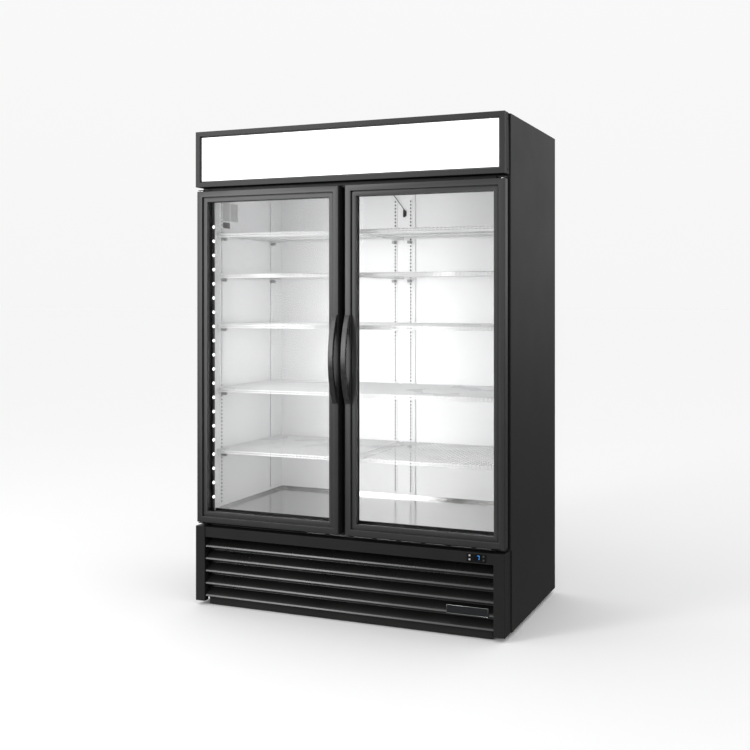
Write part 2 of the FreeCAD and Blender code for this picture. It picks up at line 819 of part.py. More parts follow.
# ---------------------------------------------------------------- base and grille
def base_post():
    """Right-hand corner post: an L of folded sheet with a small front corner radius."""
    x1 = half_front
    x0 = x1 - post_width
    z0 = foot_clearance
    z1 = base_height
    thick = post_sheet
    front = block(x0, x1, front_y, front_y + thick, z0, z1)
    side = block(x1 - thick, x1, front_y, at(post_return), z0, z1)
    inner = block(x0, x0 + thick, front_y, at(post_inner_return), z0, z1)
    step = block(x1 - thick, half_width, at(post_return) - thick, at(post_return), z0, z1)
    cap = block(x0, x1, front_y, at(face_depth), z1 - thick, z1)
    post = front.multiFuse([side, inner, step, cap]).removeSplitter()
    corner = [e for e in post.Edges
              if abs(e.BoundBox.XMin - x1) < 0.01 and abs(e.BoundBox.XMax - x1) < 0.01
              and abs(e.BoundBox.YMin - front_y) < 0.01 and abs(e.BoundBox.YMax - front_y) < 0.01]
    return post.makeFillet(post_corner, corner)


def louvre_profile(lip_middle):
    """Blade section in Y and Z: a front lip, then a slope up to the back."""
    y = at(band_setback + louvre_setback)
    low = lip_middle - louvre_lip / 2
    high = lip_middle + louvre_lip / 2
    slope = math.atan2(louvre_rise, louvre_reach)
    off_y = louvre_sheet * math.sin(slope)
    off_z = louvre_sheet * math.cos(slope)
    return [(y, low), (y, high), (y + louvre_reach, high + louvre_rise),
            (y + louvre_reach + off_y, high + louvre_rise - off_z),
            (y + louvre_sheet, high - louvre_sheet), (y + louvre_sheet, low)]


def grille():
    right = base_post()
    save("base_corner_posts", both_sides(right))
    inner_x = half_front - post_width
    band_top = base_height - band_drop
    band_low = band_top - band_height
    y0 = at(band_setback)
    thick = band_sheet
    band = block(-inner_x, inner_x, y0, y0 + thick, band_low, band_top)
    shelf_top = block(-inner_x, inner_x, y0, at(face_depth), band_top - thick, band_top)
    return_low = block(-inner_x, inner_x, y0, y0 + band_return, band_low, band_low + thick)
    band = band.multiFuse([shelf_top, return_low]).removeSplitter()
    x0, x1, z0, z1 = control_box()
    rim = control_hole_inset
    band = band.cut(block(x0 + rim, x1 - rim, y0 - 1.0, y0 + thick + 1.0, z0 + rim, z1 - rim))
    save("grille_band", band)
    blades = []
    for i in range(louvre_count):
        outline = [V(-inner_x, y, z) for y, z in louvre_profile(louvre_first - i * louvre_pitch)]
        blades.append(prism(outline, V(2 * inner_x, 0, 0)))
    back_y0 = at(band_setback + louvre_setback + louvre_reach) + bracket_gap
    strip_low = deck_height + deck_sheet
    strips = []
    half = bracket_width / 2
    for share in bracket_shares:
        x = share * (inner_x - half)
        strips.append(block(x - half, x + half, back_y0, back_y0 + louvre_sheet, strip_low,
                            band_low + bracket_above_band))
    save("grille_louvres", blades, strips)


def name_plate():
    """Blank plate fixed to the front of the fourth blade's lip, with a raised rim."""
    lip_middle = louvre_first - plate_blade * louvre_pitch
    rim = plate_rim
    x0 = plate_centre - plate_width / 2
    x1 = x0 + plate_width
    y1 = at(band_setback + louvre_setback)
    y0 = y1 - plate_thickness
    z0 = lip_middle - louvre_lip / 2 + plate_lip_gap
    z1 = z0 + plate_height
    plate = block(x0, x1, y0, y1, z0, z1)
    well = block(x0 + rim, x1 - rim, y0 - 1.0, y0 + plate_well, z0 + rim, z1 - rim)
    face = block(x0 + rim, x1 - rim, y0 + plate_face_sink, y0 + plate_well, z0 + rim, z1 - rim)
    save("name_plate", plate.cut(well), face)


def control_box():
    band_middle = base_height - band_drop - band_height / 2
    x0 = control_centre - control_width / 2
    z0 = band_middle - control_height / 2 + control_raise
    return x0, x0 + control_width, z0, z0 + control_height


def key_places():
    x0, x1, z0, z1 = control_box()
    middle = (z0 + z1) / 2
    left = x0 + key_left
    right = x1 - key_right
    high = middle + key_rise
    low = middle - key_rise
    return (("upper_left_key", left, high), ("lower_left_key", left, low),
            ("upper_right_key", right, high), ("lower_right_key", right, low))


def controller():
    x0, x1, z0, z1 = control_box()
    middle_z = (z0 + z1) / 2
    y0 = at(band_setback)
    face = y0 - control_proud
    inset = control_case_inset
    bezel = block(x0, x1, face, y0, z0, z1)
    longest = max(edge.Length for edge in bezel.Edges)
    front_edges = [e for e in bezel.Edges if e.Length == longest and e.BoundBox.YMax < face + 0.01]
    bezel = bezel.makeFillet(control_edge_round, front_edges)
    case = block(x0 + inset, x1 - inset, y0, y0 + control_case_depth, z0 + inset, z1 - inset)
    bezel = bezel.fuse(case).removeSplitter()
    dx = display_width / 2
    dz = display_height / 2
    gap = display_play
    centre = (x0 + x1) / 2 + display_shift
    window = block(centre - dx, centre + dx, face - 1.0, face + display_depth,
                   middle_z - dz, middle_z + dz)
    bezel = bezel.cut(window)
    glass = block(centre - dx + gap, centre + dx - gap, face + display_sink,
                  face + display_depth, middle_z - dz + gap, middle_z + dz - gap)
    half = key_size / 2
    hole = half + key_clearance
    key_back = face + key_well - key_travel - key_stop
    for name, x, z in key_places():
        bezel = bezel.cut(block(x - hole, x + hole, face - 1.0, face + key_well,
                                z - hole, z + hole))
        save(name, block(x - half, x + half, face - key_proud, key_back, z - half, z + half))
    save("controller_case", bezel)
    save("controller_window", glass)


def base_frame():
    x1 = kick_width / 2
    y0 = at(kick_setback)
    y1 = back_y - base_rear_gap
    z0 = rail_lift
    front = block(-x1, x1, y0, y0 + kick_thickness, z0, deck_height)
    rear = block(-x1, x1, y1 - rail_width, y1, z0, deck_height)
    side = block(x1 - rail_width, x1, y0 + kick_thickness, y1 - rail_width, z0, deck_height)
    low = deck_height + deck_sheet
    deck = block(-x1, x1, y0, y1, deck_height, low)
    rear_y = y1 - upright_rear_gap
    upright = block(x1 - upright_size, x1, at(upright_front), at(upright_front) + upright_size,
                    low, base_height)
    rear_upright = block(x1 - upright_size, x1, rear_y - upright_size, rear_y, low, base_height)
    save("base_frame", front, rear, both_sides(side), deck, both_sides(upright),
         both_sides(rear_upright))
    feet = []
    x = x1 - rail_width - foot_side_gap
    for y in (at(foot_front), y1 - rail_width - foot_rail_gap):
        disc = rod(foot_radius, foot_height, V(x, y, 0), V(0, 0, 1))
        stem = rod(foot_stem_radius, deck_height - foot_height, V(x, y, foot_height), V(0, 0, 1))
        feet += both_sides(disc.fuse(stem))
    save("levelling_feet", feet)


def inlet_window():
    """Corners in X and Z of the hole for the power inlet."""
    x0 = half_width - inlet_side
    z0 = base_height - inlet_drop
    return x0, x0 + inlet_size, z0, z0 + inlet_size


def rear_grille():
    """Slotted sheet over the machine space at the back, with the power inlet in it."""
    inner = half_width - sheet - rear_grille_side_gap
    y1 = back_y - rear_grille_setback
    z0 = rear_grille_low
    z1 = base_height - rear_grille_top_gap
    panel = block(-inner, inner, y1 - sheet, y1, z0, z1)
    inlet_x0, inlet_x1, inlet_z0, inlet_z1 = inlet_window()
    cuts = [block(inlet_x0, inlet_x1, y1 - 2 * sheet, y1 + sheet, inlet_z0, inlet_z1)]
    half = slot_length / 2
    for row in range(slot_rows):
        z = z0 + slot_low + row * slot_rise
        for column in range(slot_columns):
            x = (column - (slot_columns - 1) / 2) * (slot_length + slot_gap)
            if x + half < inlet_x0 - slot_inlet_gap:
                cuts.append(block(x - half, x + half, y1 - 2 * sheet, y1 + sheet,
                                  z, z + slot_height))
    save("rear_grille", panel.cut(Part.makeCompound(cuts)))


def power_inlet():
    """Recessed wiring box with a threaded gland; nothing is plugged into it."""
    x0, x1, z0, z1 = inlet_window()
    wall = inlet_wall
    y1 = back_y - rear_grille_setback
    y0 = y1 - inlet_depth
    bx0 = x0 + inlet_play
    bx1 = x1 - inlet_play
    bz0 = z0 + inlet_play
    bz1 = z1 - inlet_play
    walls = [block(bx0, bx0 + wall, y0 + wall, y1, bz0, bz1),
             block(bx1 - wall, bx1, y0 + wall, y1, bz0, bz1),
             block(bx0 + wall, bx1 - wall, y0 + wall, y1, bz0, bz0 + wall),
             block(bx0 + wall, bx1 - wall, y0 + wall, y1, bz1 - wall, bz1)]
    middle_x = (x0 + x1) / 2
    middle_z = (z0 + z1) / 2
    hole = rod(gland_bore, inlet_depth + 2 * wall, V(middle_x, y0 - wall, middle_z), V(0, 1, 0))
    plate = block(bx0, bx1, y0, y0 + wall, bz0, bz1).cut(hole)
    nut = rod(gland_nut_radius, gland_nut_length, V(middle_x, y0 + wall, middle_z), V(0, 1, 0))
    dome = Part.makeCone(gland_dome_radius, gland_tip_radius, gland_dome_length,
                         V(middle_x, y0 + wall + gland_nut_length, middle_z), V(0, 1, 0))
    save("power_inlet", walls, plate, nut.fuse(dome).cut(hole))


# ---------------------------------------------------------------- machine space
def condenser(x0, y0, low):
    """Fins on two rows of tubes between end plates that stand on the deck."""
    x1 = x0 + condenser_width
    y1 = y0 + condenser_depth
    z0 = low + condenser_lift
    z1 = z0 + condenser_height
    end = condenser_fin_end
    fins = []
    step = (condenser_width - 2 * condenser_fin_first - fin_thickness) / fin_count
    for i in range(fin_count + 1):
        x = x0 + condenser_fin_first + i * step
        fins.append(block(x, x + fin_thickness, y0, y1, z0 + end, z1 - end))
    tubes = []
    for row in range(condenser_rows):
        for line in range(condenser_lines):
            start = V(x0, y0 + condenser_tube_first + row * condenser_tube_row,
                      z0 + condenser_tube_low + line * condenser_tube_rise)
            tubes.append(rod(condenser_tube_radius, condenser_width, start, V(1, 0, 0)))
    caps = [block(x0, x0 + end_plate, y0, y1, low, z1),
            block(x1 - end_plate, x1, y0, y1, low, z1)]
    save("condenser_coil", tubes[0].multiFuse(tubes[1:] + fins + caps))


def outer_fan(x0, y1, low):
    """Shroud plate and ring behind the condenser, the wheel, and its motor on a stand."""
    x1 = x0 + condenser_width
    z1 = low + condenser_lift + condenser_height
    fan_x = (x0 + x1) / 2
    fan_z = low + condenser_lift + condenser_height / 2
    back = V(0, 1, 0)
    bore = outer_fan_radius + fan_tip_gap
    hole = rod(bore, 2 * shroud_ring, V(fan_x, y1, fan_z), back)
    plate = block(x0, x1, y1, y1 + shroud_sheet, low, z1).cut(hole)
    ring = rod(bore + shroud_sheet, shroud_ring - shroud_sheet,
               V(fan_x, y1 + shroud_sheet, fan_z), back).cut(hole)
    wheel = fan_wheel(outer_fan_radius, fan_blades)
    wheel.rotate(V(0, 0, 0), V(1, 0, 0), -90.0)
    fan_y = y1 + shroud_ring / 2 + shroud_fan_shift
    wheel.translate(V(fan_x, fan_y, fan_z))
    save("condenser_fan", wheel)
    motor_y = fan_y + hub_length / 2 + motor_gap
    motor = rod(motor_radius + shroud_motor_extra, shroud_motor_length,
                V(fan_x, motor_y, fan_z), back)
    shaft = rod(shaft_radius, hub_length + motor_gap, V(fan_x, fan_y - hub_length / 2, fan_z),
                back)
    stand_y = motor_y + stand_setback
    half = stand_width / 2
    motor = motor.fuse(shaft)
    stand = block(fan_x - half, fan_x + half, stand_y, stand_y + stand_thickness, low, fan_z)
    save("fan_shroud", plate, ring, motor, stand.cut(motor))


def compressor(low):
    """Domed shell on a foot plate with four rubber mounts, and its terminal box."""
    x = compressor_right
    y = at(compressor_depth)
    plate_low = low + mount_height
    body_low = plate_low + compressor_foot_sheet
    foot = block(x - compressor_foot_x, x + compressor_foot_x, y - compressor_foot_y,
                 y + compressor_foot_y, plate_low, body_low)
    dome = compressor_radius * compressor_dome
    body = rod(compressor_radius, compressor_height - dome, V(x, y, body_low), V(0, 0, 1))
    top_edges = [e for e in body.Edges if abs(e.BoundBox.ZMin - e.BoundBox.ZMax) < 0.01
                 and e.BoundBox.ZMin > body_low + 1.0]
    body = body.makeFillet(dome, top_edges)
    box = block(x + compressor_radius - terminal_overlap, x + compressor_radius + terminal_reach,
                y - terminal_half_width, y + terminal_half_width,
                body_low + terminal_low, body_low + terminal_high)
    mounts = []
    for side in (-1, 1):
        for end in (-1, 1):
            mounts.append(rod(mount_radius, mount_height,
                              V(x + side * mount_x, y + end * mount_y, low), V(0, 0, 1)))
    save("compressor", foot.fuse(body), box.cut(body), mounts)


def drain_pan(low):
    x1 = pan_left + pan_width
    y0 = at(pan_front)
    y1 = y0 + pan_depth
    wall = pan_wall
    pan = block(pan_left, x1, y0, y1, low, low + pan_height)
    well = block(pan_left + wall, x1 - wall, y0 + wall, y1 - wall, low + wall, low + 2 * pan_height)
    save("drain_pan", pan.cut(well))


def machine_space():
    low = deck_height + deck_sheet
    coil_y = at(condenser_front)
    condenser(condenser_left, coil_y, low)
    outer_fan(condenser_left, coil_y + condenser_depth, low)
    compressor(low)
    drain_pan(low)


# ---------------------------------------------------------------- hinges
def hinge_hardware():
    """Four plates fixed to the front frame, each with a pin that a door turns on."""
    plates = []
    pins = []
    half = hinge_plate_width / 2
    x0 = hinge_x - half
    x1 = hinge_x + half
    y0 = hinge_y - half
    leaf = hinge_leaf
    gap = hinge_gap
    top_low = door_top + gap
    top_plate = block(x0, x1, y0, face_y, top_low, top_low + hinge_plate)
    top_leaf = block(x0, x1, face_y - hinge_plate, face_y, top_low, top_low + leaf)
    low_top = door_bottom - gap
    low_plate = block(x0, x1, y0, face_y, low_top - hinge_plate, low_top)
    low_leaf = block(x0, x1, face_y - hinge_plate, face_y, base_height + 0.5, low_top)
    up = V(0, 0, 1)
    reach = pin_length + gap + hinge_plate
    top_pin = rod(pin_radius, reach, V(hinge_x, hinge_y, door_top - pin_length), up)
    top_collar = rod(collar_radius, gap - collar_gap,
                     V(hinge_x, hinge_y, door_top + collar_gap), up)
    low_pin = rod(pin_radius, reach, V(hinge_x, hinge_y, low_top - hinge_plate), up)
    low_collar = rod(collar_radius, gap - collar_gap, V(hinge_x, hinge_y, low_top), up)
    top_pin = top_pin.fuse(top_collar)
    low_pin = low_pin.fuse(low_collar)
    plates += both_sides(top_plate.fuse(top_leaf).cut(top_pin))
    plates += both_sides(low_plate.fuse(low_leaf).cut(low_pin))
    pins += both_sides(top_pin)
    pins += both_sides(low_pin)
    save("hinge_plates", plates)
    save("hinge_pins", pins)


# ---------------------------------------------------------------- doors
def door_profile():
    band = frame_outer_band
    groove_end = band + frame_groove
    full = frame_width
    groove_floor = inner_band_setback + groove_depth
    rebate = glass_inset - rebate_play
    return [(0, 0), (band, 0), (band, groove_floor), (groove_end, groove_floor),
            (groove_end, inner_band_setback), (full, inner_band_setback), (full, glass_setback),
            (rebate, glass_setback), (rebate, door_thickness), (0, door_thickness)]


def handle(middle_x):
    """A flat strap bowed out from the door, with a foot at each end."""
    z0 = handle_centre_height - handle_length / 2
    z1 = handle_centre_height + handle_length / 2
    tip = door_y - handle_lip
    crest = front_y - handle_reach
    foot_low = V(0, door_y, z0 + handle_foot)
    foot_high = V(0, door_y, z1 - handle_foot)
    outer = Part.Arc(V(0, tip, z0), V(0, crest, handle_centre_height), V(0, tip, z1))
    inner = Part.Arc(foot_high, V(0, crest + handle_thickness, handle_centre_height), foot_low)
    edges = [outer.toShape(),
             Part.LineSegment(V(0, tip, z1), V(0, door_y, z1)).toShape(),
             Part.LineSegment(V(0, door_y, z1), foot_high).toShape(),
             inner.toShape(),
             Part.LineSegment(foot_low, V(0, door_y, z0)).toShape(),
             Part.LineSegment(V(0, door_y, z0), V(0, tip, z0)).toShape()]
    face = Part.Face(Part.Wire(edges))
    strap = face.extrude(V(handle_width, 0, 0))
    strap.translate(V(middle_x - handle_width / 2, 0, 0))
    front_edges = [e for e in strap.Edges if e.Length > handle_length
                   and e.BoundBox.YMin < crest + 1.0]
    return strap.makeFillet(handle_edge_round, front_edges)


def door(side_name, flip):
    """Build the right-hand door, mirrored for the left."""
    def place(shape):
        return mirrored(shape) if flip else shape
    x0 = door_inner_x
    x1 = door_outer_x
    z0 = door_bottom
    z1 = door_top
    bars = mitred_frame(x0, x1, z0, z1, door_y, door_profile())
    hole_depth = pin_length + pin_hole_play
    holes = [rod(pin_radius + pin_clearance, hole_depth, V(hinge_x, hinge_y, z1 - hole_depth),
                 V(0, 0, 1)),
             rod(pin_radius + pin_clearance, hole_depth, V(hinge_x, hinge_y, z0), V(0, 0, 1))]
    drilled = []
    for bar in bars:
        for hole in holes:
            if bar.distToShape(hole)[0] < 0.01:
                bar = bar.cut(hole)
        drilled.append(place(bar.Solids[0] if bar.ShapeType != "Solid" else bar))
    save(side_name + "_door_frame", drilled)

    inset = glass_inset
    gx0, gx1, gz0, gz1 = x0 + inset, x1 - inset, z0 + inset, z1 - inset
    front = door_y + glass_setback
    outer = block(gx0, gx1, front, front + pane, gz0, gz1)
    inner_y = front + pane + glass_space
    inner = block(gx0, gx1, inner_y, inner_y + pane, gz0, gz1)
    save(side_name + "_door_glass", place(outer), place(inner))
    spacer = [(0, 0), (spacer_width, 0), (spacer_width, glass_space), (0, glass_space)]
    spacers = mitred_frame(gx0, gx1, gz0, gz1, front + pane, spacer)
    bead_start = inner_y + pane
    bead_depth = door_back - bead_start
    rebate = glass_inset - rebate_play
    bead = [(rebate, 0), (frame_width, 0), (frame_width - bead_taper, bead_depth),
            (rebate, bead_depth)]
    beads = mitred_frame(x0, x1, z0, z1, bead_start, bead)
    save(side_name + "_glass_trim", [place(s) for s in spacers + beads])
    seal = [(gasket_inset, 0), (gasket_inset + gasket_width, 0),
            (gasket_inset + gasket_width, gasket_depth), (gasket_inset, gasket_depth)]
    save(side_name + "_door_gasket",
         [place(s) for s in mitred_frame(x0, x1, z0, z1, door_back, seal)])
    save(side_name + "_handle", place(handle(x0 + handle_edge_inset)))


# ---------------------------------------------------------------- build
def main():
    os.makedirs("parts", exist_ok=True)
    shell_panels()
    foam()
    liner()
    floor_pan()
    front_frame()
    fittings()
    shelf_clips()
    shelves()
    lights()
    probe()
    wall_plates()
    cooling_unit()
    sign()
    grille()
    name_plate()
    controller()
    base_frame()
    rear_grille()
    power_inlet()
    machine_space()
    hinge_hardware()
    door("right", False)
    door("left", True)


main()
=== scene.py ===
# %% [markdown]
# # A two-door chilled display cabinet
# The cabinet's working parts come in as a fixed frame: every sheet, hinge and door is already in
# its place, in metres, with X to the right, Y to the back and Z up. This lesson gives those parts
# their finishes, and makes the pieces that need round wire, punched slots or soft edges, which are
# quicker to make here than as solids.

# %% Load the frame
import math

import bmesh
import bpy
from mathutils import Matrix, Vector


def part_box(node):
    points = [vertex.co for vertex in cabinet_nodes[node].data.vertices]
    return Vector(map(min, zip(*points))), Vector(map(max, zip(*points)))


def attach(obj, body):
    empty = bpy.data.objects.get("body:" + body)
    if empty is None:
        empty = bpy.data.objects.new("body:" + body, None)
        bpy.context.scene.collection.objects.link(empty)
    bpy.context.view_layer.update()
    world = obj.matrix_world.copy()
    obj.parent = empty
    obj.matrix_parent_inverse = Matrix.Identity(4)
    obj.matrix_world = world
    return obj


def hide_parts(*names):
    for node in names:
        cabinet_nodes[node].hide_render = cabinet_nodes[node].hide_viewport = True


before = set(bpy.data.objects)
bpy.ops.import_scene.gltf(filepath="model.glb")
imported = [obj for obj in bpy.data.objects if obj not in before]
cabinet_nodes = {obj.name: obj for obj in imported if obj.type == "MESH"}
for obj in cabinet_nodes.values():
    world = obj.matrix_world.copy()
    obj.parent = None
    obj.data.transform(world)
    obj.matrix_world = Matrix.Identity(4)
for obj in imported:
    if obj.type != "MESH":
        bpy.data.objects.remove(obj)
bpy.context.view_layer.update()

# %% [markdown]
# ## Arithmetic on shader sockets
# A finish is a recipe of small sums: how dusty, how worn, how glossy at this spot. Blender writes
# sums as Math nodes. Wiring them by hand hides the recipe, so a small class wraps a socket and lets
# ordinary Python operators add the nodes. `1 - mask` then reads as it would on paper.

# %% A socket that does sums
class Signal:
    """One output of a shader node, usable in ordinary arithmetic."""

    def __init__(self, finish, socket):
        self.finish = finish
        self.socket = socket

    def pin(self, name):
        """Another output of the same node."""
        return Signal(self.finish, self.socket.node.outputs[name])

    def sum(self, operation, first, second):
        return self.finish.add("ShaderNodeMath", {"operation": operation}, {0: first, 1: second})

    def __add__(self, other):
        return self.sum("ADD", self, other)

    def __radd__(self, other):
        return self.sum("ADD", other, self)

    def __sub__(self, other):
        return self.sum("SUBTRACT", self, other)

    def __rsub__(self, other):
        return self.sum("SUBTRACT", other, self)

    def __mul__(self, other):
        return self.sum("MULTIPLY", self, other)

    def __rmul__(self, other):
        return self.sum("MULTIPLY", other, self)

    def __truediv__(self, other):
        return self.sum("DIVIDE", self, other)

    def __rtruediv__(self, other):
        return self.sum("DIVIDE", other, self)

    def __gt__(self, other):
        return self.sum("GREATER_THAN", self, other)

    def __lt__(self, other):
        return self.sum("LESS_THAN", self, other)


# %% [markdown]
# ## One way to add a node
# Every other node comes from one method. It takes the node's type, its settings, which go in first
# because some of them change which sockets exist, and then a value or a link for each socket.

# %% A finish under construction
class Finish:
    def __init__(self, name):
        self.material = bpy.data.materials.new(name)
        self.material.use_nodes = True
        self.tree = self.material.node_tree
        self.tree.nodes.clear()

    def add(self, kind, settings=None, sockets=None):
        node = self.tree.nodes.new(kind)
        for key, value in (settings or {}).items():
            if key == "stops":
                ramp = node.color_ramp
                while len(ramp.elements) < len(value):
                    ramp.elements.new(0.5)
                for element, (position, tone) in zip(ramp.elements, value):
                    element.position = position
                    element.color = (tone, tone, tone, 1)
            else:
                setattr(node, key, value)
        for key, value in (sockets or {}).items():
            if isinstance(value, Signal):
                self.tree.links.new(value.socket, node.inputs[key])
            else:
                node.inputs[key].default_value = value
        return Signal(self, node.outputs[0]) if node.outputs else None

    def show(self, shader):
        self.add("ShaderNodeOutputMaterial", {}, {"Surface": shader})
        return self.material


# %% [markdown]
# ## The places that patterns are tied to
# Patterns are tied to the object's own coordinates. Each part keeps its place in its mesh, so one
# metre of coordinate is one metre of steel, a grain of 0.8 mm is a grain of 0.8 mm, and it travels
# with a door when the door swings.

# %% Coordinates, grain and edges
def here(finish):
    return finish.add("ShaderNodeTexCoord").pin("Object")


def along_axis(finish, axis):
    """X, Y or Z of this spot, in metres."""
    return finish.add("ShaderNodeSeparateXYZ", {}, {0: here(finish)}).pin(axis)


def grain(finish, size, detail=2.0, stretch=(1, 1, 1)):
    """Soft random variation from 0 to 1 whose lumps are about this many metres across."""
    spot = here(finish)
    if stretch != (1, 1, 1):
        spot = finish.add("ShaderNodeMapping", {}, {"Vector": spot, "Scale": stretch})
    return finish.add("ShaderNodeTexNoise", {}, {"Vector": spot, "Scale": 1 / size,
                                                 "Detail": detail})


def limit(finish, value, low=0.0, high=1.0):
    return finish.add("ShaderNodeClamp", {}, {0: value, 1: low, 2: high})


def soft_corner(finish, radius):
    """A normal that rounds sharp sheet edges over this radius."""
    return finish.add("ShaderNodeBevel", {"samples": 4}, {"Radius": radius})


edge_gain = 3.0


def edge_mask(finish, rounded):
    """About 1 on sharp edges and 0 on flats, from how far the rounded normal leans."""
    flat = finish.add("ShaderNodeNewGeometry").pin("Normal")
    lean = finish.add("ShaderNodeVectorMath", {"operation": "DOT_PRODUCT"},
                      {0: rounded, 1: flat}).pin("Value")
    return limit(finish, (1 - lean) * edge_gain)


def tint(finish, mask, first, second):
    """First colour where the mask is 0, second where it is 1."""
    mixed = finish.add("ShaderNodeMix", {"data_type": "RGBA"},
                       {0: mask, 6: (*first, 1), 7: (*second, 1)})
    return mixed.pin(2)


def over(finish, mask, under, colour):
    """A plain colour laid over a colour that already varies."""
    return finish.add("ShaderNodeMix", {"data_type": "RGBA"},
                      {0: mask, 6: under, 7: (*colour, 1)}).pin(2)


def relief(finish, height, depth, under=None):
    """Bumps of this depth in metres, on top of another normal if one is given."""
    sockets = {"Height": height, "Distance": depth, "Strength": 1.0}
    if under is not None:
        sockets["Normal"] = under
    return finish.add("ShaderNodeBump", {}, sockets)


def grey(level):
    return (level, level, level)


print("pattern helpers ready")

# %% [markdown]
# ## Powder-coated steel
# The shell, posts and grille are folded sheet with a baked satin powder coat. The coat is nearly
# black, with a fine orange-peel skin, slightly thin and pale on its edges, and it holds a little
# dust low down. An image of paint would blur when seen close, so the skin, the edges and the dust
# are all worked out from the shape: one recipe, with a few numbers for each part of the cabinet.

# %% Powder coat recipe
dust_colour = (0.20, 0.19, 0.175)
dust_top = 0.35
dust_strength = 0.08
speck_level = 0.66
sheet_edge = 0.0012
peel_size = 0.0011
peel_depth = 0.00003


def powder_coat(name, tone, gloss, shine):
    f = Finish(name)
    rounded = soft_corner(f, sheet_edge)
    edges = edge_mask(f, rounded)
    clouds = grain(f, 0.18, 3.0)
    peel = grain(f, peel_size, 2.0)
    specks = grain(f, 0.004, 4.0) > speck_level
    low = limit(f, (dust_top - along_axis(f, "Z")) / dust_top)
    dust = limit(f, low * (0.35 + clouds * 0.6) * 0.5 + specks * low * 0.25)
    plain = tint(f, limit(f, edges * 0.55 + clouds * 0.12), grey(tone), grey(tone * 2.1 + 0.012))
    shader = f.add("ShaderNodeBsdfPrincipled", {}, {
        "Base Color": over(f, dust * dust_strength, plain, dust_colour),
        "Roughness": limit(f, gloss + (clouds - 0.5) * 0.08 + dust * 0.2 - edges * 0.05),
        "Normal": relief(f, peel, peel_depth, rounded),
        "Specular IOR Level": shine})
    return f.show(shader)


finishes = {
    "black_sheet": powder_coat("black_sheet", 0.011, 0.52, 0.22),
    "base_steel": powder_coat("base_steel", 0.006, 0.46, 0.32),
    "louvre_black": powder_coat("louvre_black", 0.004, 0.25, 0.75),
    "black_trim": powder_coat("black_trim", 0.006, 0.42, 0.4),
}
print("powder coats:", ", ".join(finishes))

# %% [markdown]
# ## Door and sign frames
# The door frames are extruded aluminium with a dark satin coat. They are paler than the cabinet,
# with faint lines along their length from the die and a brighter edge where the coat rubs. The
# lines are noise squashed along the bar: thin across it and long down it. Upright and level bars
# need different directions, and both are present everywhere at low strength, which is how a brushed
# coat looks anyway.

# %% Satin frame recipe
grip_height = 1.06
bar_edge = 0.0014
die_line = 0.0012


def satin_frame(name, tone, gloss, metal):
    f = Finish(name)
    rounded = soft_corner(f, bar_edge)
    edges = edge_mask(f, rounded)
    upright = grain(f, die_line, 2.0, (1, 1, 0.01))
    level = grain(f, die_line, 2.0, (0.01, 1, 1))
    clouds = grain(f, 0.12, 3.0)
    from_grip = along_axis(f, "Z") - grip_height
    handled = limit(f, 1 - from_grip * from_grip * 12) * grain(f, 0.03, 4.0)
    wear = limit(f, edges * 0.6 + (clouds - 0.4) * 0.2 + (upright + level - 1) * 0.25)
    colour = tint(f, wear, grey(tone), grey(tone * 2.2 + 0.02))
    shader = f.add("ShaderNodeBsdfPrincipled", {}, {
        "Base Color": colour,
        "Metallic": metal,
        "Roughness": limit(f, gloss + (upright + level - 1) * 0.10 + handled * 0.06),
        "Normal": relief(f, upright + level, 0.00001, rounded)})
    return f.show(shader)


finishes["door_finish"] = satin_frame("door_finish", 0.026, 0.35, 0.15)
finishes["sign_frame_coat"] = satin_frame("sign_frame_coat", 0.007, 0.5, 0.0)
print("frame coats made")

# %% [markdown]
# ## Moulded plastics and rubber
# Handles, fan wheels, the controller and the pans are moulded. A mould leaves a fine even texture,
# with no direction, and hands polish it where they touch. Seals are softer and duller. They differ
# only in colour, gloss and the size of the texture, so one recipe serves.

# %% Plastic recipe
def moulded(name, colour, gloss, texture=0.0009, depth=0.00003, rub=0.5, edge_radius=0.0008):
    f = Finish(name)
    rounded = soft_corner(f, edge_radius)
    edges = edge_mask(f, rounded)
    skin = grain(f, texture, 3.0)
    clouds = grain(f, 0.05, 3.0)
    lighter = tuple(min(1.0, c * 1.5 + 0.01) for c in colour)
    darker = tuple(c * 0.8 for c in colour)
    body = tint(f, clouds, darker, colour)
    shader = f.add("ShaderNodeBsdfPrincipled", {}, {
        "Base Color": over(f, edges * rub, body, lighter),
        "Roughness": limit(f, gloss + (clouds - 0.5) * 0.12 + (skin - 0.5) * 0.08),
        "Normal": relief(f, skin, depth, rounded)})
    return f.show(shader)


finishes["handle_finish"] = moulded("handle_finish", grey(0.024), 0.28, 0.0006, 0.00001, 0.5, 0.002)
finishes["gasket_rubber"] = moulded("gasket_rubber", grey(0.012), 0.62, 0.0015, 0.00005)
finishes["control_plastic"] = moulded("control_plastic", grey(0.006), 0.20, 0.0005, 0.000005)
finishes["light_key_plastic"] = moulded("light_key_plastic", grey(0.42), 0.35)
finishes["dark_key_plastic"] = moulded("dark_key_plastic", grey(0.05), 0.38)
finishes["probe_plastic"] = moulded("probe_plastic", grey(0.03), 0.45)
finishes["inlet_plastic"] = moulded("inlet_plastic", grey(0.05), 0.5)
finishes["fan_plastic"] = moulded("fan_plastic", grey(0.05), 0.42)
finishes["pan_plastic"] = moulded("pan_plastic", (0.055, 0.058, 0.062), 0.5)
finishes["compressor_black"] = moulded("compressor_black", grey(0.012), 0.32, 0.002, 0.00008)
# Near-black coat for the sunk floors and walls of the upright slots: painted shade for the dark
# hollow behind real open slots.
finishes["upright_slot_shade"] = moulded("upright_slot_shade", grey(0.035), 0.7, 0.002, 0.00005)
finishes["foam"] = moulded("foam", (0.62, 0.50, 0.27), 0.9, 0.003, 0.0004)
print("plastics made")
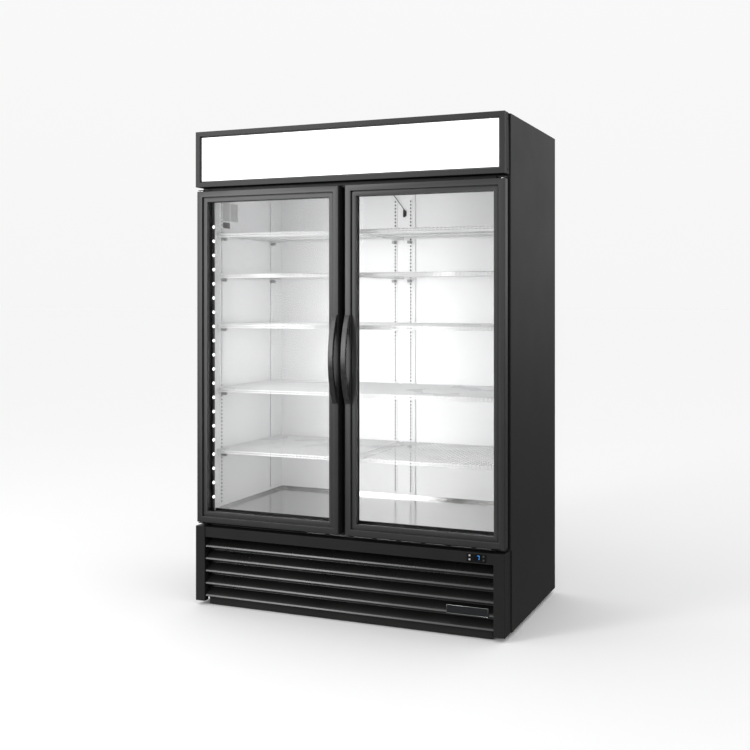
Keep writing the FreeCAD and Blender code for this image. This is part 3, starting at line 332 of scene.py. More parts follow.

# %% [markdown]
# ## White enamelled liner, coated wire and labels
# The inside is white enamelled steel. It is not paper white: it is slightly cool, with a wide soft
# variation where the sheet oil-cans, and it turns a little darker towards the bottom. The wire
# shelves have a thick plastic dip that is glossier and rounder than paint.

# %% White coats
darkening_top = 0.46


def white_coat(name, level, gloss, wave=0.0, low_darkening=0.0):
    f = Finish(name)
    clouds = grain(f, 0.25, 2.0)
    skin = grain(f, 0.0016, 2.0)
    # Below a set height the coat turns darker, by the share given.
    low = limit(f, (darkening_top - along_axis(f, "Z")) * 10) * low_darkening
    clean = (level, level * 1.004, level * 1.01)
    dim = (level * 0.90, level * 0.90, level * 0.89)
    colour = tint(f, limit(f, clouds * 0.35 + low * 0.5), clean, dim)
    height = skin * 0.02 + clouds * wave
    shader = f.add("ShaderNodeBsdfPrincipled", {}, {
        "Base Color": colour,
        "Roughness": limit(f, gloss + (clouds - 0.5) * 0.08),
        "Normal": relief(f, height, 0.001)})
    return f.show(shader)


finishes["white_liner"] = white_coat("white_liner", 0.80, 0.34, 0.4, 0.3)
finishes["white_pilaster"] = white_coat("white_pilaster", 0.80, 0.38)
finishes["shelf_coating"] = white_coat("shelf_coating", 0.86, 0.28)


def printed_plate(name, dark_below):
    """Pale plates, of which the lowest is dark."""
    f = Finish(name)
    clouds = grain(f, 0.012, 3.0)
    pale = tint(f, clouds, grey(0.36), grey(0.50))
    colour = over(f, along_axis(f, "Z") < dark_below, pale, grey(0.03))
    shader = f.add("ShaderNodeBsdfPrincipled", {}, {
        "Base Color": colour, "Roughness": limit(f, 0.40 + clouds * 0.1),
        "Normal": relief(f, clouds, 0.00005)})
    return f.show(shader)


plate_height = 0.030
lowest_plate_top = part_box("wall_plates")[0][2] + plate_height
finishes["data_plate"] = printed_plate("data_plate", lowest_plate_top)
finishes["sign_light"] = white_coat("sign_light", 0.85, 0.5)
print("white coats made")

# %% [markdown]
# ## Bare metals
# The floor pan is brushed stainless steel that mirrors the slotted uprights behind it. Coils are
# bright aluminium, the fan shroud is zinc-coated with its grey crystals, and clips, hinges and feet
# are plated. All are fully metallic, so what changes over them is mostly roughness.

# %% Metal recipe
brush_line = 0.0010
brush_depth = 0.000008


def bare_metal(name, colour, gloss, brushed=(1, 1, 1), crystals=0.0):
    f = Finish(name)
    lines = grain(f, brush_line, 2.0, brushed)
    smears = grain(f, 0.09, 4.0)
    amount = (smears - 0.5) * 0.5 + (lines - 0.5) * 0.5
    if crystals:
        cells = f.add("ShaderNodeTexVoronoi", {}, {"Vector": here(f), "Scale": 1 / crystals})
        flakes = f.add("ShaderNodeSeparateColor", {}, {0: cells.pin("Color")})
        amount = amount + (flakes - 0.5) * 0.8
    dull = tuple(c * 0.72 for c in colour)
    shader = f.add("ShaderNodeBsdfPrincipled", {}, {
        "Base Color": tint(f, limit(f, 0.5 + amount), dull, colour),
        "Metallic": 1.0,
        "Roughness": limit(f, gloss + amount * 0.14, 0.05, 1.0),
        "Normal": relief(f, lines, brush_depth)})
    return f.show(shader)


finishes["stainless_pan"] = bare_metal("stainless_pan", (0.66, 0.66, 0.655), 0.17, (0.02, 1, 1))
finishes["coil_aluminium"] = bare_metal("coil_aluminium", (0.78, 0.79, 0.80), 0.35)
finishes["galvanised"] = bare_metal("galvanised", (0.55, 0.57, 0.59), 0.42, crystals=0.012)
finishes["motor_metal"] = bare_metal("motor_metal", (0.45, 0.45, 0.46), 0.4)
finishes["hinge_steel"] = bare_metal("hinge_steel", (0.80, 0.80, 0.79), 0.22)
finishes["clip_steel"] = bare_metal("clip_steel", (0.46, 0.46, 0.46), 0.38)
finishes["foot_steel"] = bare_metal("foot_steel", (0.60, 0.60, 0.60), 0.35)
finishes["plate_chrome"] = bare_metal("plate_chrome", (0.60, 0.62, 0.62), 0.16, (0.02, 1, 1))
finishes["plate_face"] = bare_metal("plate_face", (0.10, 0.105, 0.11), 0.34, (0.02, 1, 1))
print("metals made")

# %% [markdown]
# ## Glass
# Each door has two clear panes. True refraction in thin flat panes only costs render time, as it
# shifts what is behind by under a millimetre. So a pane lets light straight through and adds a
# faint mirror image that grows towards grazing angles, which is what the eye notices.

# %% Pane and display window
def clear_pane(name, tone, strength):
    f = Finish(name)
    through = f.add("ShaderNodeBsdfTransparent", {}, {"Color": (*tone, 1)})
    smears = grain(f, 0.06, 4.0)
    mirror = f.add("ShaderNodeBsdfPrincipled", {}, {
        "Base Color": (0.92, 0.92, 0.92, 1), "Metallic": 1.0,
        "Roughness": limit(f, 0.02 + smears * 0.04)})
    glance = f.add("ShaderNodeFresnel", {}, {"IOR": 1.35})
    return f.show(f.add("ShaderNodeMixShader", {}, {0: limit(f, glance * strength),
                                                    1: through, 2: mirror}))


finishes["door_glass"] = clear_pane("door_glass", (0.99, 0.99, 0.99), 0.12)
finishes["display_window"] = moulded("display_window", grey(0.004), 0.08, 0.002, 0.000001)
print("glass made")

# %% [markdown]
# ## Things that glow
# The sign is a translucent white sheet with lamps behind it, a touch dimmer at its ends. Lenses on
# the light strips are small, bright and nearly white. The controller shows one plain numeral.

# %% Glowing finishes
sheet_end = 0.668


def lit_sheet(name, glow):
    f = Finish(name)
    x = along_axis(f, "X")
    frosting = grain(f, 0.002, 3.0)
    end = limit(f, (sheet_end - x) * 14) * limit(f, (sheet_end + x) * 14)
    level = limit(f, 0.86 + end * 0.14 + (frosting - 0.5) * 0.03)
    shade = f.add("ShaderNodeCombineColor", {}, {0: level, 1: level, 2: level})
    shader = f.add("ShaderNodeBsdfPrincipled", {}, {
        "Base Color": (0.86, 0.86, 0.86, 1),
        "Roughness": limit(f, 0.32 + (frosting - 0.5) * 0.1),
        "Emission Color": shade,
        "Emission Strength": glow})
    return f.show(shader)


def lamp(name, colour, glow):
    f = Finish(name)
    frosting = grain(f, 0.0012, 2.0)
    bright = tint(f, frosting, tuple(c * 0.92 for c in colour), colour)
    shader = f.add("ShaderNodeBsdfPrincipled", {}, {
        "Base Color": bright, "Roughness": 0.3, "Emission Color": bright,
        "Emission Strength": glow})
    return f.show(shader)


finishes["sign_white"] = lit_sheet("sign_white", 0.85)
finishes["light_lens"] = lamp("light_lens", (1.0, 1.0, 0.98), 3.0)
finishes["display_glow"] = lamp("display_glow", (0.035, 0.22, 0.62), 1.1)
print(len(finishes), "finishes in all")

# %% [markdown]
# ## Giving the frame's parts their finishes
# Each part of the frame keeps its shape and gets a finish in its material slots. A table by finish
# is shorter than one by part, and shows at a glance what is made of what.

# %% Parts by finish
parts_of = {
    "black_sheet": ["right_side_panel", "left_side_panel", "outer_panels", "sign_housing",
                    "rear_grille"],
    "base_steel": ["base_corner_posts", "grille_band", "base_frame"],
    "black_trim": ["front_frame", "centre_mullion", "light_channels", "hinge_plates"],
    "door_finish": ["left_door_frame", "right_door_frame"],
    "sign_frame_coat": ["sign_frame"],
    "handle_finish": ["left_handle", "right_handle"],
    "gasket_rubber": ["left_door_gasket", "right_door_gasket", "left_glass_trim",
                      "right_glass_trim"],
    "door_glass": ["left_door_glass", "right_door_glass"],
    "white_liner": ["wall_liners", "rear_column", "cooling_housing"],
    "stainless_pan": ["floor_pan"],
    "clip_steel": ["shelf_clips"],
    "probe_plastic": ["air_probe"],
    "data_plate": ["wall_plates"],
    "coil_aluminium": ["cooling_coil", "condenser_coil"],
    "fan_plastic": ["left_air_fan", "right_air_fan", "condenser_fan"],
    "motor_metal": ["air_fan_motors"],
    "sign_white": ["sign_panel"],
    "sign_light": ["sign_lights"],
    "plate_face": ["name_plate"],
    "control_plastic": ["controller_case"],
    "display_window": ["controller_window"],
    "light_key_plastic": ["upper_left_key", "lower_left_key"],
    "dark_key_plastic": ["upper_right_key", "lower_right_key"],
    "foot_steel": ["levelling_feet"],
    "inlet_plastic": ["power_inlet"],
    "galvanised": ["fan_shroud"],
    "compressor_black": ["compressor"],
    "pan_plastic": ["drain_pan"],
    "hinge_steel": ["hinge_pins"],
    "foam": ["foam_insulation"],
}
for finish_name, names in parts_of.items():
    for name in names:
        for material_slot in cabinet_nodes[name].material_slots:
            material_slot.material = finishes[finish_name]
print("finished", sum(len(names) for names in parts_of.values()), "parts")

# %% [markdown]
# ## A heap for mesh pieces
# Wire, slots and blades are many small shapes in one piece. A heap gathers the corners and faces of
# all of them, then becomes one Blender object. Faces are smooth, with sharp edges kept where they
# turn by more than a set angle.

# %% Gather shapes into one piece
class Heap:
    def __init__(self):
        self.corners = []
        self.faces = []
        self.coats = []

    def add(self, corners, faces, coat=0):
        """The coat is which of the piece's finishes these faces take."""
        start = len(self.corners)
        self.corners.extend(Vector(c) for c in corners)
        self.faces.extend([start + i for i in face] for face in faces)
        self.coats.extend([coat] * len(faces))

    def piece(self, name, body, coats, replaces=(), sharp=35):
        mesh = bpy.data.meshes.new(name)
        mesh.from_pydata([tuple(c) for c in self.corners], [], self.faces)
        for finish in coats:
            mesh.materials.append(finishes[finish])
        mesh.polygons.foreach_set("material_index", self.coats)
        shape = bmesh.new()
        shape.from_mesh(mesh)
        bmesh.ops.recalc_face_normals(shape, faces=shape.faces)
        shape.to_mesh(mesh)
        shape.free()
        mesh.shade_smooth()
        mesh.set_sharp_from_angle(angle=math.radians(sharp))
        thing = bpy.data.objects.new(name, mesh)
        bpy.context.scene.collection.objects.link(thing)
        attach(thing, body)
        for node in replaces:
            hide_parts(node)
        print(name, "has", len(mesh.polygons), "faces")
        return thing


# %% [markdown]
# ## Rings of corners
# A wire, a dome and a door frame are all made the same way: rings of corners, one after another,
# with faces that join each to the next. One helper lists those faces, so a shape only has to say
# where its rings go.

# %% Rings and the faces between them
def full_turn(steps):
    """Even angles round a circle."""
    return [2 * math.pi * k / steps for k in range(steps)]


def between(rings, sides, closed=False):
    """Faces that join each ring of corners to the next, and the last to the first if closed."""
    faces = []
    for i in range(rings if closed else rings - 1):
        start, following = i * sides, (i + 1) % rings * sides
        for k in range(sides):
            j = (k + 1) % sides
            faces.append([start + k, start + j, following + j, following + k])
    return faces


def capped(rings, sides):
    """Faces between rings, with the first and last ring filled."""
    last = (rings - 1) * sides
    return between(rings, sides) + [list(range(sides))[::-1], [last + k for k in range(sides)]]


nearly_straight = 0.98
bend_swell = 1.04


def tube(heap, path, radius, sides=8):
    """A round bar along a path, a little thicker where it bends, with closed ends."""
    points = [Vector(p) for p in path]
    rings = []
    normal = None
    for i, point in enumerate(points):
        before = (point - points[i - 1]).normalized() if i else None
        after = (points[i + 1] - point).normalized() if i + 1 < len(points) else None
        along = ((before or after) + (after or before)).normalized()
        if normal is None:
            normal = along.orthogonal().normalized()
        normal = (normal - along * normal.dot(along)).normalized()
        across = along.cross(normal)
        girth = radius if along.dot(after or before) > nearly_straight else radius * bend_swell
        rings.append([point + girth * (math.cos(turn) * normal + math.sin(turn) * across)
                      for turn in full_turn(sides)])
    heap.add([c for ring in rings for c in ring], capped(len(rings), sides))


# %% [markdown]
# ## Wire shelves
# A real shelf is a welded grid of dipped wire: a frame of 6 mm rod, cross rods under it, and about
# forty 4 mm wires that run front to back and turn down over the front rods, which gives the edge
# its dashed look. The list `turn_down` says where a wire's middle goes as it turns: how far behind
# the front edge and how far below the top, both in half thicknesses of wire. A texture on a flat
# plate would look right only from far away, so each wire is a real round bar. The frame's plain
# shelves give the outer size, and each pair here stands in for one of them.

# %% Bend and weld the wires
rod = 0.006
wire = 0.004
wire_pitch = 0.0165
middle_gap = 0.0095
turn_down = [(2.2, 0.0), (1.3, 0.4), (1.0, 1.2)]


def wire_shelf(heap, side, inner, outer, front, back, low, top):
    wire_z = top - wire / 2
    rod_z = top - wire - rod / 2
    low_z = low + rod / 2
    rod_y = front + wire + rod / 2
    half = wire / 2
    count = round((outer - inner - wire) / wire_pitch)
    step = (outer - inner - wire) / count
    for i in range(count + 1):
        x = side * (inner + half + i * step)
        bend = [(x, front + behind * half, wire_z - below * half) for behind, below in turn_down]
        tube(heap, [(x, back, wire_z)] + bend + [(x, front + half, low + half)], half)
    left = side * inner
    right = side * outer
    third = (back - front) / 3
    for y in (rod_y, front + third, front + third * 2, back - rod / 2):
        tube(heap, [(left, y, rod_z), (right, y, rod_z)], rod / 2, 10)
    tube(heap, [(left, rod_y, low_z), (right, rod_y, low_z)], rod / 2, 10)
    for x in (inner + rod / 2, outer - rod / 2):
        end_x = side * x
        tube(heap, [(end_x, rod_y, rod_z), (end_x, back - rod, rod_z)], rod / 2, 10)
        tube(heap, [(end_x, rod_y, rod_z), (end_x, rod_y, low_z), (end_x, back - rod, low_z),
                    (end_x, back - rod / 2, rod_z)], rod / 2, 10)


shelves = []
for number in range(1, 6):
    node = "shelf_pair_%d" % number
    (_, y0, z0), (x1, y1, z1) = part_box(node)
    shelf_heap = Heap()
    for side in (-1, 1):
        wire_shelf(shelf_heap, side, middle_gap, x1, y0, y1, z0, z1)
    shelf = shelf_heap.piece("wire_shelves_%d" % number, "cabinet", ["shelf_coating"], [node])
    shelves.append(shelf)

# %% [markdown]
# ## Slotted uprights
# The shelves hook into pressed steel uprights with a slot every 16 mm. Cutting some seven hundred
# holes with booleans is slow and leaves poor meshes. It is simpler to draw the face as a ladder of
# flat strips, and push each slot's floor inwards. The sunk floors and walls take a near-black coat,
# painted shade for the dark inside of the hollow upright that real open slots show.

# %% Punch the uprights
slot_pitch = 0.0159
slot_height = 0.0072
slot_width = 0.0070
strip_width = 0.018
strip_depth = 0.003
slot_depth = 0.0027


def slotted_upright(heap, foot, top, across, outward):
    """A strip from the foot point up to a height; across and outward are unit directions."""
    half = strip_width / 2
    half_slot = slot_width / 2
    across = Vector(across)
    outward = Vector(outward) * strip_depth
    sunk = 1 - slot_depth / strip_depth
    foot = Vector(foot)

    def at(u, z, lift=1.0):
        return foot + across * u + outward * lift + Vector((0, 0, z - foot.z))

    def quad(*corners, painted_shade=False):
        heap.add(corners, [[0, 1, 2, 3]], int(painted_shade))

    low = foot.z
    rows = int((top - low) / slot_pitch)
    margin = ((top - low) - rows * slot_pitch) / 2
    edges = [low]
    for row in range(rows):
        base = low + margin + row * slot_pitch
        z0 = base + (slot_pitch - slot_height) / 2
        z1 = z0 + slot_height
        quad(at(-half, edges[-1]), at(half, edges[-1]), at(half, z0), at(-half, z0))
        quad(at(-half, z0), at(-half_slot, z0), at(-half_slot, z1), at(-half, z1))
        quad(at(half_slot, z0), at(half, z0), at(half, z1), at(half_slot, z1))
        # Each slot's sunk floor and walls take the near-black second coat: painted shade.
        quad(at(-half_slot, z0, sunk), at(half_slot, z0, sunk), at(half_slot, z1, sunk),
             at(-half_slot, z1, sunk), painted_shade=True)
        for u in (-half_slot, half_slot):
            quad(at(u, z0), at(u, z1), at(u, z1, sunk), at(u, z0, sunk), painted_shade=True)
        for z in (z0, z1):
            quad(at(-half_slot, z), at(half_slot, z), at(half_slot, z, sunk),
                 at(-half_slot, z, sunk), painted_shade=True)
        edges.append(z1)
    quad(at(-half, edges[-1]), at(half, edges[-1]), at(half, top), at(-half, top))
    for u in (-half, half):
        quad(at(u, low), at(u, top), at(u, top, 0), at(u, low, 0))
    for z in (low, top):
        quad(at(-half, z), at(half, z), at(half, z, 0), at(-half, z, 0))
    quad(at(-half, low, 0), at(half, low, 0), at(half, top, 0), at(-half, top, 0))


(_, _, upright_foot), (wall, _, upright_top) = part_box("shelf_pilasters")
column_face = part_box("rear_column")[0][1]
mullion_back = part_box("centre_mullion")[1][1]
wall_depths = (-0.2415, 0.2035)
column_x = 0.038
mullion_x = 0.020
mullion_drop = 0.02
upright_heap = Heap()
for side in (-1, 1):
    for depth in wall_depths:
        slotted_upright(upright_heap, (side * wall, depth, upright_foot), upright_top,
                        (0, 1, 0), (-side, 0, 0))
    slotted_upright(upright_heap, (side * column_x, column_face, upright_foot), upright_top,
                    (1, 0, 0), (0, -1, 0))
    slotted_upright(upright_heap, (side * mullion_x, mullion_back, upright_foot),
                    upright_top - mullion_drop, (1, 0, 0), (0, 1, 0))
uprights = upright_heap.piece("slotted_uprights", "cabinet", ["white_pilaster", "upright_slot_shade"],
                              ["shelf_pilasters"])

# %% [markdown]
# ## Domed lenses
# Each light strip has twenty small lenses. A lens is a shallow dome, so a short outline is turned
# round its own axis. The frame's flat discs say where each one goes.

# %% Turn the domes
def turned(heap, centre, outward, outline, steps=16):
    """A solid of revolution; the outline is (radius, height) from the base to the tip."""
    centre = Vector(centre)
    up = Vector(outward).normalized()
    side = up.orthogonal().normalized()
    other = up.cross(side)
    corners = [centre + up * height + radius * (math.cos(turn) * side + math.sin(turn) * other)
               for radius, height in outline for turn in full_turn(steps)]
    heap.add(corners, capped(len(outline), steps))


(_, ly0, lz0), (jamb_lens_x, ly1, lz1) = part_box("light_lenses")
lens_radius = 0.0066
lens_height = 0.0030
lens_edge = 0.0004
lens_count = 20
disc_width = ly1 - ly0
lens_first = lz0 + disc_width / 2
lens_pitch = (lz1 - lz0 - disc_width) / (lens_count - 1)
lens_y = (ly0 + ly1) / 2
dome = [(lens_radius, 0.0)] + [
    (lens_radius * math.cos(slope), lens_edge + (lens_height - lens_edge) * math.sin(slope))
    for slope in map(math.radians, (0, 20, 40, 60, 78))]
strip_thickness = 0.002
mullion_lens_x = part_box("centre_mullion")[1][0] + strip_thickness
lens_heap = Heap()
for side in (-1, 1):
    for i in range(lens_count):
        z = lens_first + i * lens_pitch
        turned(lens_heap, (side * jamb_lens_x, lens_y, z), (-side, 0, 0), dome)
        turned(lens_heap, (side * mullion_lens_x, lens_y, z), (side, 0, 0), dome)
lenses = lens_heap.piece("lens_domes", "cabinet", ["light_lens"], ["light_lenses"], 60)

# %% [markdown]
# ## Grille blades
# Each blade of the lower grille is one folded strip: a rolled front lip that catches the light,
# then a slope that rises to the back and hides the machinery. The fold's radius is what makes the
# bright line, so the outline is drawn with real curves and given the thickness of sheet steel, then
# pulled across. Five upright straps behind the blades carry them.

# %% Roll the lips
def rounded_path(points, radii, steps=5):
    """The same path in a plane, with each inner corner rounded by its radius."""
    path = [Vector(points[0])]
    for i in range(1, len(points) - 1):
        corner = Vector(points[i])
        back = (Vector(points[i - 1]) - corner).normalized()
        ahead = (Vector(points[i + 1]) - corner).normalized()
        half = math.acos(max(-1, min(1, back.dot(ahead)))) / 2
        reach = radii[i - 1] / math.tan(half)
        centre = corner + (back + ahead).normalized() * radii[i - 1] / math.sin(half)
        first = corner + back * reach - centre
        last = corner + ahead * reach - centre
        for k in range(steps + 1):
            share = k / steps
            spoke = (first * (1 - share) + last * share).normalized() * radii[i - 1]
            path.append(centre + spoke)
    path.append(Vector(points[-1]))
    return path


def thickened(path, thickness):
    """A closed outline: the path, then the same path set off to its right."""
    inner = []
    for i, point in enumerate(path):
        along = (path[min(i + 1, len(path) - 1)] - path[max(i - 1, 0)]).normalized()
        inner.append(point + Vector((along.y, -along.x)) * thickness)
    return path + inner[::-1]


def pulled(heap, outline, x0, x1, folded=True):
    """A Y and Z outline pulled along X. A folded strip's ends are filled from side to side."""
    count = len(outline)
    corners = [(x, p.x, p.y) for x in (x0, x1) for p in outline]
    faces = between(2, count)
    for start in (0, count):
        if folded:
            for i in range(count // 2 - 1):
                faces.append([start + i, start + i + 1,
                              start + count - 2 - i, start + count - 1 - i])
        else:
            faces.append([start + i for i in range(count)])
    heap.add(corners, faces)


(gx0, gy0, gz0), (gx1, _, gz1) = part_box("grille_louvres")
blade_count = 5
blade_pitch = 0.0524
lip = 0.009
lip_low = 0.0414 - lip / 2
blade_reach = 0.040
blade_rise = 0.027
blade_sheet = 0.0016
flange = 0.011
lip_lean = 0.003
hem = (0.007, 0.001)
fold_radii = [0.0022, 0.0042, 0.002]
blade_heap = Heap()
for i in range(blade_count):
    low = lip_low + i * blade_pitch
    crest = low + lip + blade_rise
    path = rounded_path([(gy0 + hem[0], low + hem[1]), (gy0, low), (gy0 + lip_lean, low + lip),
                         (gy0 + blade_reach, crest), (gy0 + blade_reach, crest + flange)],
                        fold_radii)
    pulled(blade_heap, thickened(path, blade_sheet), gx0, gx1)
strap = 0.002
strap_half_width = 0.006
strap_foot = gz0 + 0.03
strap_y = gy0 + blade_reach + strap
strap_outline = [Vector(p) for p in (
    (strap_y, gz1 - strap), (strap_y + strap * 0.25, gz1), (strap_y + strap * 0.75, gz1),
    (strap_y + strap, gz1 - strap), (strap_y + strap, strap_foot), (strap_y, strap_foot))]
for share in (-0.999, -0.5, 0, 0.5, 0.999):
    x = share * (gx1 - strap_half_width)
    pulled(blade_heap, strap_outline, x - strap_half_width, x + strap_half_width)
blades = blade_heap.piece("grille_blades", "cabinet", ["louvre_black"], ["grille_louvres"], 40)

# %% [markdown]
# ## The seal over the grille
# The grille panel comes off for cleaning, so it stops two millimetres short of the frame above it.
# A rubber bead stands on the panel's top, a few millimetres in front of the gap, and hides most of
# it. A bead is a half-round outline pulled across, so the helper for the blades makes it, with its
# ends filled whole.

# %% Lay the bead
band_low, band_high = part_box("grille_band")
seal_thickness = 0.004
seal_height = 0.0055
seal_gap = 0.0001
seal_end_gap = 0.003
seal_foot = band_high[2] + seal_gap
seal_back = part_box("front_frame")[0][1] - seal_gap
seal_crown = seal_foot + seal_height - seal_thickness
seal_radius = seal_thickness / 2
crown = [Vector((seal_back - seal_radius * (1 + math.cos(turn)),
                 seal_crown + seal_radius * math.sin(turn)))
         for turn in full_turn(16)[:9]]
bead = [Vector((seal_back - seal_thickness, seal_foot))] + crown + [Vector((seal_back, seal_foot))]
seal_heap = Heap()
pulled(seal_heap, bead, band_low[0] + seal_end_gap, band_high[0] - seal_end_gap, folded=False)
seal_heap.piece("grille_seal", "cabinet", ["gasket_rubber"], (), 40)

# %% [markdown]
# ## Door frames
# Each door frame is four mitred lengths of one extrusion: a flat outer band, a groove, and an inner
# band set back towards the glass. On the outer side a second groove runs behind the front corner.
# The plain frame has sharp edges, which never catch light. Here the section gets its real rounded
# corners, and is carried round the door with mitres. The hinge pins need their holes, which a
# boolean cuts last.

# %% Extrude the frames
band = 0.025
groove = 0.003
groove_floor = 0.012
inner_setback = 0.008
inner_lean = 0.0015
frame_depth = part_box("right_door_frame")[1][1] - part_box("right_door_frame")[0][1]
frame_face = 0.046
glass_line = 0.020
rebate = 0.034
side_slot = (0.0045, 0.0085, 0.0028)
pin_inset = 0.014
pin_setback = 0.022
pin_hole_radius = 0.00405
pin_hole_depth = 0.022
drill_overrun = 0.002


def frame_section():
    """(inset from the door's edge, depth behind its face), rounded where a finger would feel it."""
    start, end, deep = side_slot
    sharp = [(0, frame_depth), (0, end), (deep, end), (deep, start), (0, start), (0, 0), (band, 0),
             (band, groove_floor), (band + groove, groove_floor), (band + groove, inner_setback),
             (frame_face, inner_setback + inner_lean), (frame_face, glass_line),
             (rebate, glass_line), (rebate, frame_depth)]
    radii = [0.0009, 0.0003, 0.0003, 0.0009, 0.0022, 0.0018, 0.0003, 0.0003, 0.0010, 0.0022,
             0.0003, 0.0003]
    return rounded_path(sharp, radii, 4)


def mitred(heap, section, box):
    """Carry a section of (inset, depth) points round a box's front, with mitred corners."""
    (x0, y0, z0), (x1, _, z1) = box
    corners = []
    for inset, depth in section:
        low, high, y = z0 + inset, z1 - inset, y0 + depth
        left, right = x0 + inset, x1 - inset
        corners += [(left, y, low), (right, y, low), (right, y, high), (left, y, high)]
    heap.add(corners, between(len(section), 4, closed=True))


def door_frame(side):
    node = side + "_door_frame"
    (x0, y0, z0), (x1, _, z1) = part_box(node)
    heap = Heap()
    mitred(heap, frame_section(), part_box(node))
    thing = heap.piece(side + "_frame_extrusion", side + "_door", ["door_finish"], [node], 30)
    drill = Heap()
    pin_x = (x1 - pin_inset) if side == "right" else (x0 + pin_inset)
    drill_length = pin_hole_depth + drill_overrun
    for low in (z0 - drill_overrun, z1 - pin_hole_depth):
        turned(drill, (pin_x, y0 + pin_setback, low), (0, 0, 1),
               [(pin_hole_radius, 0), (pin_hole_radius, drill_length)], 24)
    drill_mesh = bpy.data.meshes.new("drill")
    drill_mesh.from_pydata([tuple(c) for c in drill.corners], [], drill.faces)
    cutter = bpy.data.objects.new("drill", drill_mesh)
    bpy.context.scene.collection.objects.link(cutter)
    cut = thing.modifiers.new("pin_holes", "BOOLEAN")
    cut.object = cutter
    cut.operation = "DIFFERENCE"
    cut.solver = "EXACT"
    bpy.context.view_layer.update()
    graph = bpy.context.evaluated_depsgraph_get()
    drilled = bpy.data.meshes.new_from_object(thing.evaluated_get(graph))
    thing.modifiers.remove(cut)
    thing.data = drilled
    drilled.set_sharp_from_angle(angle=math.radians(30))
    bpy.data.objects.remove(cutter)
    print(side, "frame:", len(drilled.polygons), "faces after drilling")


for side in ("left", "right"):
    door_frame(side)

# %% [markdown]
# ## The name plate's rim
# The blank plate has a polished rim, a half-round bead pressed up along its edges. The same mitred
# helper as for the doors carries a bead's outline round it, so that each side catches its own
# light.

# %% Press the rim
rim_width = 0.0018
rim_height = 0.0007
rim_heap = Heap()
rim_section = [(rim_width * (0.5 - 0.5 * math.cos(turn)), -rim_height * math.sin(turn))
               for turn in full_turn(12)[:7]]
mitred(rim_heap, rim_section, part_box("name_plate"))
rim_heap.piece("name_plate_rim", "cabinet", ["plate_chrome"], (), 40)

# %% [markdown]
# ## The controller's numeral
# The display shows one leaning numeral made of flat six-sided bars, as on any such display. Bars
# are thin plates just proud of the window.

# %% Bars of the numeral
(wx0, window_face, wz0), (wx1, _, wz1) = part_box("controller_window")
numeral_width = 0.0085
numeral_height = 0.0155
numeral_shift = 0.003
bar_width = 0.0021
bar_gap = 0.0002
bar_proud = 0.00005
bar_sunk = 0.0002
lean = 0.12
numeral_x = (wx0 + wx1) / 2 + numeral_shift
numeral_z = (wz0 + wz1) / 2
numeral_heap = Heap()


def display_bar(heap, a, b):
    """One six-sided bar between two points given in shares of the numeral."""
    ends = [Vector(((u - 0.5) * numeral_width, (v - 0.5) * numeral_height)) for u, v in (a, b)]
    along = (ends[1] - ends[0]).normalized()
    aside = Vector((-along.y, along.x)) * bar_width / 2
    tip = along * bar_width / 2
    ends[0] += along * bar_gap
    ends[1] -= along * bar_gap
    flat = [ends[0], ends[0] + tip + aside, ends[1] - tip + aside, ends[1],
            ends[1] - tip - aside, ends[0] + tip - aside]
    corners = [(numeral_x + p.x + lean * p.y, depth, numeral_z + p.y)
               for depth in (window_face - bar_proud, window_face + bar_sunk) for p in flat]
    heap.add(corners, capped(2, len(flat)))


for first, last in (((0, 1), (1, 1)), ((1, 1), (1, 0.5)), ((1, 0.5), (1, 0))):
    display_bar(numeral_heap, first, last)
numeral_heap.piece("display_numeral", "cabinet", ["display_glow"], (), 30)

# %% [markdown]
# ## Floor, light and camera
# The floor is one large pale sheet, and the surroundings are a pale dome that is darker below the
# horizon, so that glossy black steel low down mirrors shade and not floor. Two large soft lights
# stand at the front left, one of them high. Panels of light inside each half do the work of the
# lenses.

# %% Pale floor
floor_mesh = bpy.data.meshes.new("studio_floor")
floor_reach = 160.0
floor_z = -0.0004
floor_mesh.from_pydata([(x * floor_reach, y * floor_reach, floor_z)
                        for x, y in ((-1, -1), (1, -1), (1, 1), (-1, 1))], [], [[0, 1, 2, 3]])
floor = bpy.data.objects.new("studio_floor", floor_mesh)
bpy.context.scene.collection.objects.link(floor)
floor_finish = Finish("studio_floor")
floor_shader = floor_finish.add("ShaderNodeBsdfPrincipled", {}, {
    "Base Color": tint(floor_finish, grain(floor_finish, 0.7), grey(0.945), grey(0.955)),
    "Roughness": 0.9, "Specular IOR Level": 0.1})
floor_mesh.materials.append(floor_finish.show(floor_shader))
floor.visible_glossy = False

# %% Pale dome
world = bpy.data.worlds.new("studio")
bpy.context.scene.world = world
world.use_nodes = True
world.node_tree.nodes.clear()


class Studio(Finish):
    """The same node methods, on the surroundings."""

    def __init__(self, tree):
        self.tree = tree


studio = Studio(world.node_tree)
direction = studio.add("ShaderNodeSeparateXYZ", {},
                       {0: studio.add("ShaderNodeTexCoord").pin("Generated")})
dome_stops = [(0.0, 0.07), (0.485, 0.10), (0.492, 0.92), (0.65, 0.945), (1.0, 0.99)]
above = studio.add("ShaderNodeValToRGB", {"stops": dome_stops}, {0: direction.pin("Z") * 0.5 + 0.5})
backdrop = studio.add("ShaderNodeBackground", {}, {"Color": above, "Strength": 1.0})
studio.add("ShaderNodeOutputWorld", {}, {"Surface": backdrop})
print("dome of", len(dome_stops), "greys")


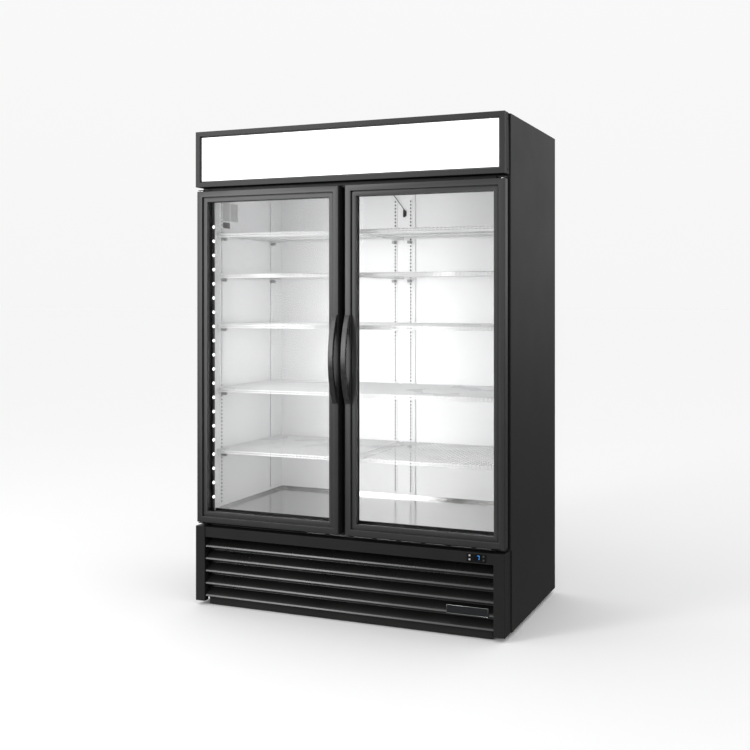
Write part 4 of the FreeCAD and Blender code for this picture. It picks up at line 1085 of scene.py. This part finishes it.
# %% Soft lights
def soft_light(name, place, target, width, height, power, seen_in_gloss=True):
    data = bpy.data.lights.new(name, "AREA")
    data.shape = "RECTANGLE"
    data.size = width
    data.size_y = height
    data.energy = power
    lamp_object = bpy.data.objects.new(name, data)
    bpy.context.scene.collection.objects.link(lamp_object)
    aim = (Vector(target) - Vector(place)).to_track_quat("-Z", "Y")
    lamp_object.matrix_world = Matrix.LocRotScale(Vector(place), aim, None)
    lamp_object.visible_camera = False
    lamp_object.visible_glossy = seen_in_gloss
    return lamp_object


soft_light("key_light", (-2.4, -3.6, 3.4), (0, -0.3, 1.0), 0.9, 1.6, 35)
soft_light("front_softbox", (-2.3, -4.3, 1.7), (-0.3, -0.3, 1.1), 1.2, 2.2, 62)


# %% [markdown]
# ## Light inside
# The strips' real light is many small sources close to the shelves, slow to render cleanly. One
# soft panel behind each door gives the same even glow. Wire a few millimetres in front of a panel
# would burn out, so the walls have one pair of panels and the shelves a dimmer pair, each told
# which parts it lights.

# %% Panels and what they light
def lit_group(name, members):
    group = bpy.data.collections.new(name)
    for member in members:
        group.objects.link(member)
    return group


inside_parts = ["wall_liners", "rear_column", "cooling_housing", "floor_pan", "wall_plates",
                "air_probe", "shelf_clips"]
walls = lit_group("walls", [uprights] + [cabinet_nodes[name] for name in inside_parts])
shelf_group = lit_group("shelf_wires", shelves)
panel_height = 1.30
for label, side in (("left", -1), ("right", 1)):
    place = (side * 0.20, -0.285, 1.05)
    target = (side * 0.26, 0.3, 1.00)
    for name, group, power, width in (("walls", walls, 4.1, 0.16),
                                      ("wires", shelf_group, 2.0, 0.5)):
        panel = soft_light("%s_glow_%s" % (label, name), place, target, width, panel_height,
                           power, False)
        panel.light_linking.receiver_collection = group

# %% [markdown]
# ## The camera
# Upright edges stay parallel only if a camera is level. So it isn't tilted down at the cabinet: its
# lens is shifted instead, as on a camera for buildings. It stands far off with a long lens, which
# keeps the near corner from looking stretched.

# %% Camera
camera_data = bpy.data.cameras.new("camera")
camera_data.sensor_width = 36.0
camera_data.lens = 51.77
camera_data.shift_y = -0.0994
camera_data.clip_end = 500.0
camera = bpy.data.objects.new("camera", camera_data)
bpy.context.scene.collection.objects.link(camera)
camera.location = (1.8232, -4.3284, 1.300)
camera.rotation_euler = (math.radians(90), 0, math.radians(22.936))
bpy.context.scene.camera = camera
bpy.context.scene.view_settings.view_transform = "Standard"
